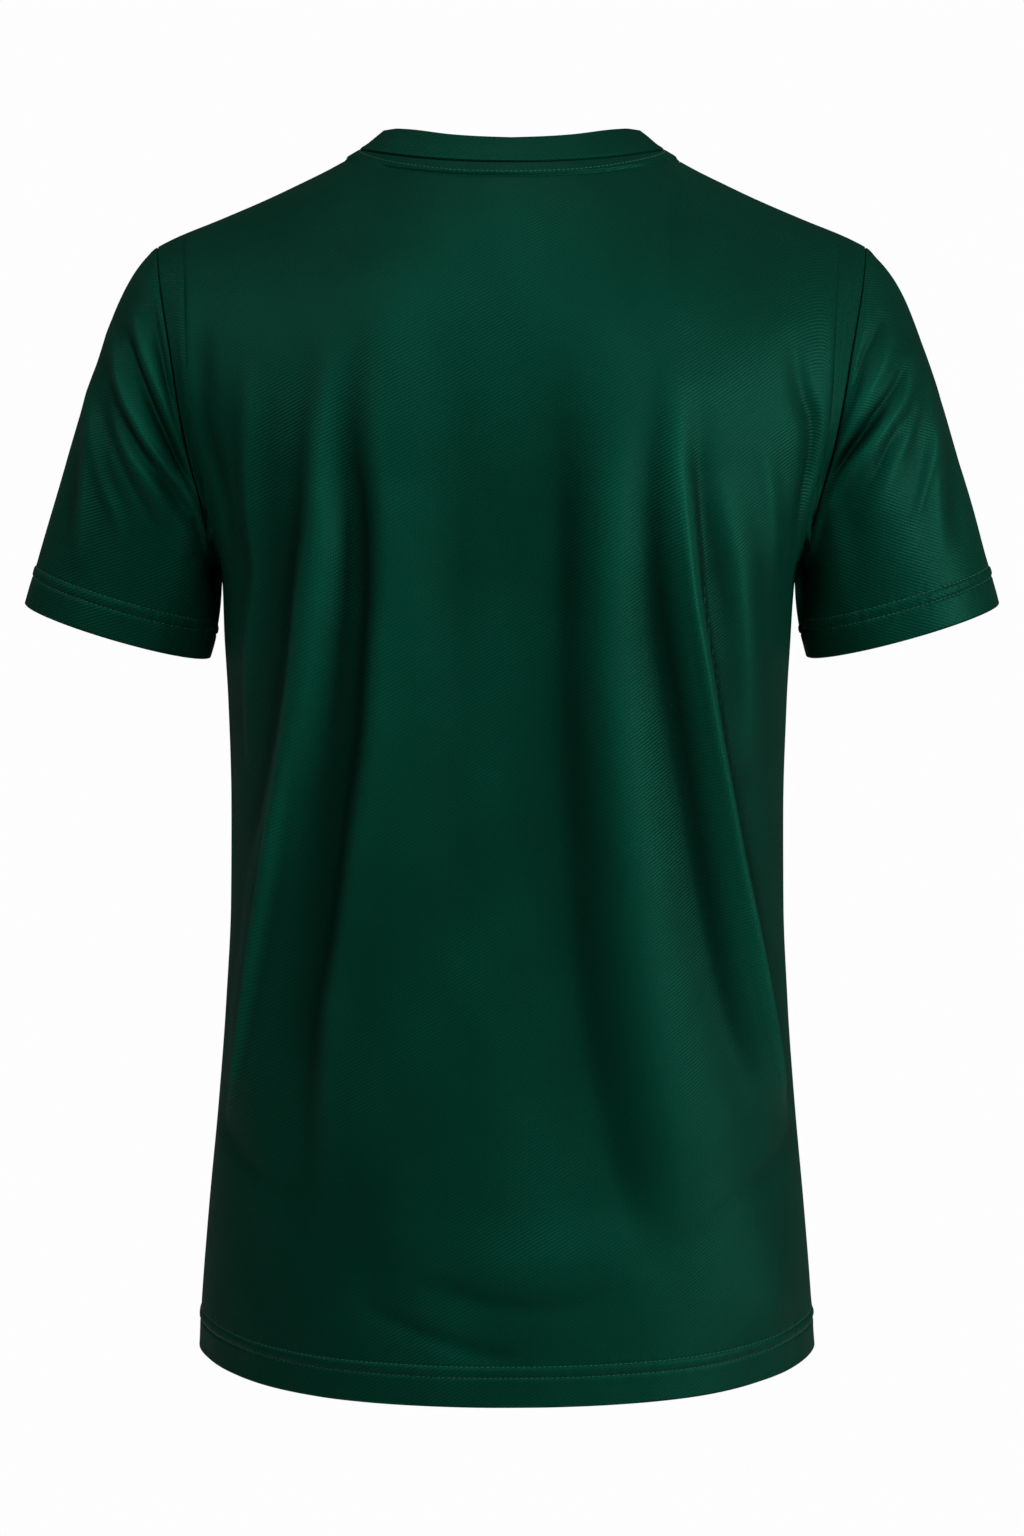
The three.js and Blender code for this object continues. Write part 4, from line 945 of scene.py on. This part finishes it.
# Folds of the sleeves, seen square on; x is measured outwards from the middle of the shirt, and left is outwards.
SLEEVE_FOLDS = {
    (1, "back"): [
        fold("seam trough", 5, 5, None,
             (203, -80, 0, 0.8), (200, -94, -1.6, 0.9), (194, -118, -3.4, 1), (189, -141, -4.6, 1), (181, -168, -5.0, 1), (171, -196, -3.0, 1), (166, -212, 0, 1)),
        fold("first ridge", 7, 6, None,
             (214, -84, 0, 0.9), (211, -100, 2.2, 0.9), (205, -117, 3.2, 1), (196, -140, 3.6, 1), (186, -163, 3.4, 1), (178, -181, 1.8, 0.9), (172, -198, 0, 0.9)),
        fold("first trough", 4.5, 4.5, None,
             (216, -100, 0, 0.9), (213, -115, -2.6, 0.9), (207, -131, -3.6, 1), (196, -153, -4.2, 1), (186, -174, -4.2, 1), (176, -193, -2.4, 0.9), (170, -207, 0, 0.9)),
        fold("second ridge", 7.5, 5.5, None,
             (228, -96, 0, 0.9), (225, -117, 2.6, 0.9), (220, -133, 3.8, 1), (209, -154, 4.4, 1), (196, -176, 4.4, 1), (186, -189, 3.4, 1), (175, -204, 1.6, 0.9), (168, -215, 0, 0.9)),
        fold("thin crease on it", 2.4, 2.4, None,
             (212, -146, 0, 1), (205, -158, -0.9, 1), (197, -170, -1.1, 1), (190, -180, -0.7, 1), (185, -187, 0, 1)),
        fold("second trough", 6, 5, None,
             (229, -104, 0, 1), (227, -122, -1.8, 1), (222, -141, -2.6, 1), (212, -161, -3.2, 1), (199, -179, -3.2, 1), (187, -196, -2.2, 1), (177, -211, -1.0, 1), (171, -222, 0, 1)),
        fold("third ridge", 12, 8, None,
             (227, -136, 0, 0.9), (221, -159, 1.6, 1), (209, -179, 2.8, 1), (199, -194, 2.8, 1), (187, -212, 1.8, 1), (179, -228, 0, 1)),
        fold("third trough", 5, 5, None,
             (232, -134, 0, 1), (228, -154, -1.4, 1), (217, -178, -1.9, 1), (207, -196, -1.6, 1), (195, -219, 0, 1)),
        fold("fourth ridge", 5, 5, 0.35,
             (240, -134, 0, 1), (237, -154, 1.0, 1), (230, -188, 1.3, 1), (223, -204, 0.9, 1), (218, -224, 0, 1)),
        fold("outer ridge", 10, 9, 0.14,
             (238, -120, 0, 0.7), (240, -145, 2.6, 0.9), (240.5, -168, 3.4, 1), (242, -200, 2.6, 1), (245, -236, 0, 1)),
        fold("outer trough", 7, 8, None,
             (241, -136, 0, 1), (246, -160, -1.4, 1), (250, -196, -2.0, 1), (256, -228, 0, 1)),
        fold("underarm hollow", 10, 12, None,
             (176, -196, 0, 1), (171, -214, -2.2, 1), (168, -238, -2.6, 1), (167, -262, 0, 1)),
    ],
    (-1, "back"): [
        fold("first trough", 4.5, 4.5, None,
             (210, -90, 0, 0.9), (204, -105, -1.7, 1), (195, -122, -2.3, 1), (186, -141, -2.3, 1), (178, -161, 0, 1)),
        fold("first ridge", 5.5, 5, None,
             (217, -98, 0, 1), (208, -120, 1.8, 1), (196, -140, 2.4, 1), (184, -162, 2.2, 1), (175, -182, 0, 1)),
        fold("deep trough", 5, 5, None,
             (224, -118, 0, 0.8), (216, -135, -3.2, 0.9), (206, -148, -4.6, 1), (195, -161, -5.0, 1), (184, -176, -4.6, 1), (173, -193, -2.6, 1), (167, -206, 0, 1)),
        fold("second ridge", 9, 5, None,
             (231, -108, 0, 0.9), (222, -130, 2.6, 1), (208, -153, 4.0, 1), (194, -172, 4.0, 1), (181, -188, 2.6, 1), (170, -204, 0, 1)),
        fold("thin trough", 4, 4, None,
             (220, -146, 0, 1), (212, -163, -1.2, 1), (206, -179, -1.5, 1), (194, -201, 0, 1)),
        fold("third ridge", 9, 7, None,
             (226, -148, 0, 1), (218, -168, 1.3, 1), (208, -190, 1.6, 1), (196, -212, 0, 1)),
        fold("thin outer line", 4, 4, 0.3,
             (230, -134, 0, 1), (228, -146, 0.8, 1), (222, -162, 0.8, 1), (216, -176, 0, 1)),
        fold("second thin line", 4, 4, 0.25,
             (239, -150, 0, 1), (236.5, -170, 1.3, 1), (231.5, -192, 1.3, 1), (227, -212, 0, 1)),
        fold("outer ridge", 10, 9, 0.14,
             (233, -112, 0, 0.7), (236, -138, 2.2, 0.9), (239.5, -171, 3.2, 1), (241, -198, 2.2, 1), (245, -232, 0, 1)),
        fold("outer trough", 7, 8, None,
             (241, -136, 0, 1), (246, -160, -1.2, 1), (250, -196, -1.6, 1), (256, -228, 0, 1)),
        fold("underarm hollow", 12, 12, None,
             (174, -196, 0, 1), (170, -214, -2.4, 1), (169, -240, -3.0, 1), (169, -266, 0, 1)),
    ],
    (1, "front"): [
        fold("first ridge", 8, 6, None,
             (216, -86, 0, 0.9), (210, -108, 2.4, 1), (199, -134, 3.4, 1), (187, -160, 3.0, 1), (174, -190, 0, 1)),
        fold("first trough", 5, 5, None,
             (222, -104, 0, 1), (214, -124, -2.8, 1), (202, -150, -3.8, 1), (188, -176, -3.4, 1), (173, -206, 0, 1)),
        fold("second ridge", 9, 6, None,
             (234, -112, 0, 1), (225, -136, 2.8, 1), (210, -162, 3.8, 1), (194, -186, 3.2, 1), (175, -214, 0, 1)),
        fold("second trough", 6, 6, None,
             (236, -128, 0, 1), (226, -152, -1.8, 1), (210, -180, -2.6, 1), (193, -206, -1.6, 1), (180, -226, 0, 1)),
        fold("outer ridge", 10, 9, 0.18,
             (240, -130, 0, 0.8), (243, -160, 2.4, 1), (244, -190, 2.4, 1), (247, -226, 0, 1)),
    ],
    (-1, "front"): [
        fold("first ridge", 8, 6, None,
             (214, -90, 0, 0.9), (206, -114, 2.6, 1), (195, -140, 3.2, 1), (183, -166, 2.6, 1), (172, -194, 0, 1)),
        fold("first trough", 5, 5, None,
             (224, -100, 0, 1), (214, -122, -3.0, 1), (200, -148, -4.0, 1), (186, -174, -3.2, 1), (172, -204, 0, 1)),
        fold("second ridge", 10, 6, None,
             (232, -118, 0, 1), (222, -142, 3.0, 1), (206, -168, 3.6, 1), (190, -192, 2.6, 1), (174, -216, 0, 1)),
        fold("second trough", 6, 6, None,
             (233, -136, 0, 1), (222, -160, -1.8, 1), (206, -186, -2.2, 1), (190, -212, 0, 1)),
        fold("outer ridge", 10, 9, 0.18,
             (238, -126, 0, 0.8), (241, -154, 2.4, 1), (243, -186, 2.0, 1), (247, -220, 0, 1)),
    ],
}
SLEEVE_DEPTH = {(1, "back"): 1.4, (-1, "back"): 1.15, (1, "front"): 1.2, (-1, "front"): 1.2}
AROUND = 300
SLEEVE_ROWS = 132


def sleeve(name, way):
    half_turn = AROUND // 2
    fine = np.linspace(0, 1, 700)
    z = mix(ARMPIT_Z, SHOULDER[1], np.sin(fine * np.pi / 2) ** 1.15)
    halves = []
    for side in ("back", "front"):
        x = armhole_x[side](z)
        halves.append(np.stack([x + way * body_shift(z), depth_at(side, x, z), z], axis=-1))
    ring = []
    for n, line in enumerate((halves[0][::-1], halves[1])):
        run = run_of(line)
        want = np.linspace(0, run[-1], half_turn + 1)[:-1]
        ring.append(np.stack([np.interp(want, run, line[:, c]) for c in range(3)], axis=-1))
    edge = np.concatenate(ring)
    turn = np.arange(AROUND) / AROUND * 360.0
    half = np.where(turn <= 180, turn, 360 - turn)
    facing = np.where(turn <= 180, 1.0, -1.0)
    rad = np.radians(turn)
    shoulder, armpit = edge[0], edge[half_turn]
    down = armpit - shoulder
    down[1] = 0
    down = down / np.linalg.norm(down)
    out = np.array([-down[2], 0, down[0]])
    value = {n: curve(SLEEVE_START["turn"], SLEEVE_START[n])(half)[:, None] for n in ("out", "away", "down", "cap", "hang")}
    away = np.stack([0 * facing, facing, 0 * facing], axis=-1)
    start = unit(out * value["out"] + away * value["away"] + down * value["down"])
    inner = np.array([HEM_INNER[way][0], SLEEVE_HEM["y"], HEM_INNER[way][1]])
    outer = np.array([HEM_OUTER[0], SLEEVE_HEM["y"], HEM_OUTER[1]])
    middle = (inner + outer) / 2
    wide = outer - middle
    along = np.array([wide[2], 0, -wide[0]])
    along = along / np.linalg.norm(along)
    deep = np.array([0, SLEEVE_HEM["depth"], -SLEEVE_HEM["drop"]])
    hem = middle + wide * np.cos(rad)[:, None] + deep * np.sin(rad)[:, None]
    begin = edge + start * 0.2 + out * 0.25
    far = np.linalg.norm(begin - hem, axis=1)[:, None]
    c1, c2 = begin + start * far * value["cap"], hem - along * far * value["hang"]
    t = np.linspace(0, 1, 400)[:, None, None]
    line = begin * (1 - t) ** 3 + 3 * c1 * (1 - t) ** 2 * t + 3 * c2 * (1 - t) * t**2 + hem * t**3
    run = run_of(np.swapaxes(line, 0, 1))  # one row a column
    total = run[:, -1:]
    hem_run = np.array(HEM_RUN[::-1])
    scale = np.minimum(1, total / 60.0)
    want = np.concatenate(
        [np.linspace(0, 1, SLEEVE_ROWS + 1)[:-1][None, :] * (total - hem_run[0] * scale), total - hem_run[None, :] * scale], axis=1
    )
    rows = want.shape[1]
    P = np.zeros((rows, AROUND, 3))
    for k in range(AROUND):
        for c in range(3):
            P[:, k, c] = np.interp(want[k], run[k], line[:, k, c])
    N = grid_normals(P, True)
    centre = P.mean(axis=1, keepdims=True)
    if (N * (P - centre)).sum() < 0:
        N = -N
    # folds, on the back and the front half, and gone at the armhole and over the top and the underarm
    from_hem = np.concatenate([np.full(SLEEVE_ROWS, 400.0), hem_run])[:, None] + 0 * P[:, :, 0]
    near_hem = want.T
    to_hem = total.T - near_hem
    h = np.zeros((rows, AROUND))
    over = np.clip(np.abs(np.sin(rad)), 0, 1) ** 0.35
    for side, mask in (("back", facing > 0), ("front", facing < 0)):
        for f in SLEEVE_FOLDS[(way, side)]:
            h += SLEEVE_DEPTH[(way, side)] * fold_height(P[:, :, 0], P[:, :, 2], f, lambda fx, fz: fx) * mask[None, :]
    h *= over[None, :] * ease(near_hem / 9.0) * ease((to_hem - 12) / 26)
    seed = 31 if way > 0 else 47
    round_run = turn / 360.0 * 372.0
    limp = waves(round_run[None, :] + 0.3 * to_hem, seed, (62.0, 93.0), (0.18, 0.22)) * waves(to_hem, seed + 1, (88.0,), (1.0,))
    h += limp * ease(near_hem / 12.0) * ease(to_hem / 30)
    # painted shade: how far each fold stands above the cloth around it; the knit material turns it into paler colour on
    # the crests and darker colour in the hollows
    shade = 2.2 * stand(h, True, (6, 6))
    h += hem_profile(from_hem, round_run[None, :] + 0 * from_hem, seed + 2)
    # the seam allowance lies under the sleeve's edge and lifts it slightly
    h += 0.35 * np.exp(-(((near_hem - 3.4) / 2.6) ** 2))
    D = P + N * h[:, :, None]
    thick = np.where(from_hem < HEM_DEPTH, 2 * HEM_FOLD, CLOTH)

    def edge_of(k, loop):
        one = np.ones(len(loop))
        if k == 0:
            return one * ROLL, one * ALLOWANCE, one * GAP, one * LEAN
        return one * HEM_FOLD, one * 0.0, one * 0.0, one * 0.0

    mirror = np.array([way, 1.0, 1.0])
    cut = np.stack([round_run[None, :] + 0 * to_hem, -to_hem], axis=-1) * 0.001
    ob = shell("cloth_" + name, D * mirror, N * mirror, thick, edge_of, True, cut, KNIT[name], shade)
    return dict(object=ob, D=D * mirror, N=N * mirror, rows=rows, area=grid_area(D))


def grid_area(P):
    a, b = P[1:, 1:] - P[:-1, :-1], P[1:, :-1] - P[:-1, 1:]
    return float(np.linalg.norm(np.cross(a, b), axis=-1).sum() / 2e6)


# --------------------------------------------------------------------- neckband
BAND = {
    "turn": (0, 30, 50, 65, 78, 92, 110, 135, 180),
    "height": (17.3, 17.7, 18.1, 18.3, 16.5, 16.8, 17.6, 17.4, 17.0),
    "rise": (8.3, 12.2, 16.5, 13.6, 9.5, -8.5, 5, 9, 7),
}
BAND_THICK = 1.9


def neckband(back, front):
    def neck(p):
        nk, mid = p["nk"], p["columns"] // 2
        row = p["rows"] - 1
        return p["D"][row, mid - nk: mid + nk + 1], p["N"][row, mid - nk: mid + nk + 1]

    (bp, bn), (fp, fn) = neck(back), neck(front)
    fp, fn = fp[::-1], fn[::-1]
    side = len(bp) - 1
    at = np.concatenate([[(bp[0] + fp[-1]) / 2], bp[1:-1], [(bp[-1] + fp[0]) / 2], fp[1:-1]])
    square = unit(np.concatenate([[bn[0] + fn[-1]], bn[1:-1], [bn[-1] + fn[0]], fn[1:-1]]))
    count = len(at)

    def round_it(v, reach):
        weight = np.arange(reach, 0, -1)
        total = v * reach
        for d in range(1, reach):
            total = total + weight[d] * (np.roll(v, d, axis=0) + np.roll(v, -d, axis=0))
        return total / (reach + 2 * weight[1:].sum())

    along = np.roll(at, -1, axis=0) - np.roll(at, 1, axis=0)
    onwards = unit(np.cross(along, square))
    up = unit(round_it(onwards, 14))
    out = unit(np.cross(up, along))
    out = unit(round_it(out, 4))
    k = np.arange(count)
    turn = np.where(k <= side, np.abs(k / side - 0.5) * 180, 180 - np.abs((k - side) / (count - side) - 0.5) * 180)
    height = curve(BAND["turn"], BAND["height"])(turn)
    rise = np.radians(curve(BAND["turn"], BAND["rise"])(turn))
    run = run_of(np.concatenate([at, at[:1]]))[:-1]
    shares = np.array([0, 0.02, 0.05, 0.09, 0.14, 0.2, 0.27, 0.34, 0.42, 0.5, 0.58, 0.66, 0.73, 0.8, 0.86, 0.91, 0.95, 0.98, 1.0])
    rows = len(shares)
    grid = np.zeros((rows, count, 3))
    for j, t in enumerate(shares):
        far = t * height
        bow = 0.75 * math.sin(math.pi * t) + 0.35 * math.exp(-(((t - 0.12) / 0.1) ** 2))
        bow = bow + waves(run, 71, (23.0, 41.0, 67.0), (0.05, 0.07, 0.08)) * math.sin(math.pi * t)
        grid[j] = at + up * (0.35 + far * np.cos(rise))[:, None] + out * (far * np.sin(rise) + bow - 0.2)[:, None]
    N = grid_normals(grid, True)
    if (N * out[None]).sum() < 0:
        N = -N

    def edge_of(k, loop):
        one = np.ones(len(loop))
        if k == 0:
            return one * 0.5, one * ALLOWANCE, one * 0.05, one * LEAN
        return one * BAND_THICK / 2, one * 0.0, one * 0.0, one * 0.0

    cut = np.stack([run[None, :] + 0 * grid[:, :, 0], shares[:, None] * height[None, :]], axis=-1) * 0.001
    ob = shell("cloth_neckband", grid, N, np.full(grid.shape[:2], BAND_THICK), edge_of, True, cut, KNIT["neckband"])
    return dict(object=ob, run=run[-1], height=float(height.mean()), area=grid_area(grid))


# --------------------------------------------------------------------- stitches
def stitches(name, lines):
    """One joined mesh of thread stitches. Each line is points, normals, pitch, length and a skip at its start."""
    verts, quads, count = [], [], 0
    t = np.array([0, 0.2, 0.5, 0.8, 1.0])
    radius = np.array([0.13, 0.21, 0.24, 0.21, 0.13])
    lift = np.array([-0.16, 0.05, 0.14, 0.05, -0.16])
    angle = np.radians([45, 135, 225, 315])
    for points, normals, pitch, length, shift in lines:
        run = run_of(points)
        starts = np.arange(shift, run[-1] - length, pitch)
        if not len(starts):
            continue
        rng = np.random.default_rng(len(points) + int(pitch * 100))
        starts = starts + rng.uniform(-0.12, 0.12, len(starts))
        where = starts[:, None] + t[None, :] * length
        place = np.stack([np.interp(where, run, points[:, c]) for c in range(3)], axis=-1)
        n = unit(np.stack([np.interp(where, run, normals[:, c]) for c in range(3)], axis=-1))
        along = unit(place[:, -1] - place[:, 0])[:, None, :] + 0 * place
        sideways = unit(np.cross(n, along))
        up = unit(np.cross(along, sideways))
        centre = place + up * lift[None, :, None]
        ring = (
            centre[:, :, None, :]
            + sideways[:, :, None, :] * (radius[None, :, None] * np.cos(angle))[..., None]
            + up[:, :, None, :] * (radius[None, :, None] * np.sin(angle))[..., None]
        )
        m = len(starts)
        verts.append(ring.reshape(-1, 3))
        base = count + np.arange(m)[:, None] * 20
        for r in range(4):
            for a in range(4):
                b = (a + 1) % 4
                quads.append(np.concatenate([base + r * 4 + a, base + r * 4 + b, base + (r + 1) * 4 + b, base + (r + 1) * 4 + a], axis=1))
        quads.append(np.concatenate([base + 3, base + 2, base + 1, base], axis=1))
        quads.append(np.concatenate([base + 16, base + 17, base + 18, base + 19], axis=1))
        count += m * 20
    V, Q = np.concatenate(verts), np.concatenate(quads)
    # outwards on every stitch
    first = V[Q[0]]
    c = V[:20].mean(axis=0)
    if np.dot(np.cross(first[1] - first[0], first[2] - first[0]), first.mean(axis=0) - c) < 0:
        Q = Q[:, ::-1]
    return make_mesh(name, V, Q, np.zeros((0, 3), int), THREAD)


def row_line(p, j, closed=False, margin=3):
    P, N = p["D"][j], p["N"][j]
    if closed:
        return np.concatenate([P, P[:1]]), np.concatenate([N, N[:1]])
    return P[margin:-margin], N[margin:-margin]


back, front = panel("back"), panel("front")
left, right = sleeve("sleeve_left", 1), sleeve("sleeve_right", -1)
band = neckband(back, front)
low, high = (HEM_RUN.index(d) for d in HEM_ROWS)


def neck_line(p):
    j = p["rows"] - 1 - (len(TOP_RUN) - 1 - TOP_RUN.index(7.2))
    mid = p["columns"] // 2
    cut = slice(mid - p["nk"] + 1, mid + p["nk"])
    return p["D"][j, cut], p["N"][j, cut]


threads = {
    "back": stitches("stitches_back", [
        (*row_line(back, low), 2.9, 2.25, 0.4), (*row_line(back, high), 2.9, 2.2, 1.6), (*neck_line(back), 2.7, 2.0, 0.5)]),
    "front": stitches("stitches_front", [
        (*row_line(front, low), 2.9, 2.25, 0.9), (*row_line(front, high), 2.9, 2.2, 2.1), (*neck_line(front), 2.7, 2.0, 0.8)]),
}
for key, s in (("sleeve_left", left), ("sleeve_right", right)):
    rows = s["rows"]
    threads[key] = stitches("stitches_" + key, [
        (*row_line(s, rows - 1 - low, True), 2.9, 2.25, 0.4), (*row_line(s, rows - 1 - high, True), 2.9, 2.2, 1.3)])

made = {"back": back, "front": front, "sleeve_left": left, "sleeve_right": right, "neckband": band}
for key, p in made.items():
    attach(p["object"], "root")
    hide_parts(key)
for ob in threads.values():
    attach(ob, "root")

# --------------------------------------------------------------- floor and light
scene = bpy.context.scene
scene.view_settings.view_transform = "Standard"
scene.view_settings.look = "None"
scene.view_settings.exposure = 0
scene.view_settings.gamma = 1

world = bpy.data.worlds.new("studio")
scene.world = world
world.use_nodes = True
wt = world.node_tree
wt.nodes.clear()
w_out = node(wt, "ShaderNodeOutputWorld")
path = node(wt, "ShaderNodeLightPath")
seen = node(wt, "ShaderNodeBackground")
seen.inputs["Color"].default_value = (0.985, 0.985, 0.985, 1)
seen.inputs["Strength"].default_value = 1.0
lit = node(wt, "ShaderNodeBackground")
lit.inputs["Color"].default_value = (1, 1, 1, 1)
lit.inputs["Strength"].default_value = 0.04
both = node(wt, "ShaderNodeMixShader")
link(wt, path, "Is Camera Ray", both, "Fac")
wt.links.new(lit.outputs[0], both.inputs[1])
wt.links.new(seen.outputs[0], both.inputs[2])
wt.links.new(both.outputs[0], w_out.inputs["Surface"])

floor_material, ft = new_material("pale_floor")
f_out = node(ft, "ShaderNodeOutputMaterial")
f_path = node(ft, "ShaderNodeLightPath")
f_pale = node(ft, "ShaderNodeBsdfDiffuse")
f_pale.inputs["Color"].default_value = (0.75, 0.75, 0.75, 1)
f_bright = node(ft, "ShaderNodeEmission")
f_bright.inputs["Color"].default_value = (0.985, 0.985, 0.985, 1)
f_mix = node(ft, "ShaderNodeMixShader")
link(ft, f_path, "Is Camera Ray", f_mix, "Fac")
ft.links.new(f_pale.outputs[0], f_mix.inputs[1])
ft.links.new(f_bright.outputs[0], f_mix.inputs[2])
ft.links.new(f_mix.outputs[0], f_out.inputs["Surface"])
bpy.ops.mesh.primitive_plane_add(size=40, location=(0, 0, -1.45))
floor = bpy.context.object
floor.name = "floor"
floor.data.materials.append(floor_material)


def lamp(name, where, aim, size, power, colour=(1, 1, 1), size_y=None):
    data = bpy.data.lights.new(name, "AREA")
    data.shape = "RECTANGLE"
    data.size, data.size_y = size, size_y or size
    data.energy, data.color = power, colour
    ob = bpy.data.objects.new(name, data)
    scene.collection.objects.link(ob)
    ob.location = where
    from mathutils import Vector

    ob.rotation_mode = "QUATERNION"
    ob.rotation_quaternion = (Vector(aim) - Vector(where)).to_track_quat("-Z", "Y")
    return ob


def studio(name, turn, height, size, power, reach=2.6):
    """A soft light at that many degrees from straight behind the shirt, towards its right, and that high."""
    t, e = math.radians(turn), math.radians(height)
    lamp(name, (-reach * math.cos(e) * math.sin(t), reach * math.cos(e) * math.cos(t), -0.3 + reach * math.sin(e)), (0, 0, -0.3), size, power)


# The key stands on the shirt's right, well round to its side; weaker ones fill the rest.
studio("key", 62, 9, 0.7, 29.0)
studio("key_high", 72, 25, 0.7, 2.5)
studio("front_soft", 20, 25, 1, 10.5)
studio("front_high", 0, 48, 1, 8.0)
studio("fill_left", -34, 38, 1, 13.0)
studio("rim_left", -80, 38, 0.8, 6.0)
studio("rim_right", 100, 45, 0.8, 0.6)
studio("top", 0, 82, 1.5, 7.5)
studio("front_key", 180, 6, 0.6, 10.0)

# --------------------------------------------------------------------- camera
AIM_Z, DISTANCE, RISE = -0.3531, 3.0, math.radians(6)
camera = bpy.data.objects.new("camera", bpy.data.cameras.new("camera"))
scene.collection.objects.link(camera)
camera.data.sensor_width = 36
camera.data.lens = 122.07
camera.data.clip_start, camera.data.clip_end = 0.1, 60
camera.location = (0, DISTANCE * math.cos(RISE), AIM_Z + DISTANCE * math.sin(RISE))
camera.rotation_euler = (math.radians(90) - RISE, 0, math.pi)
scene.camera = camera
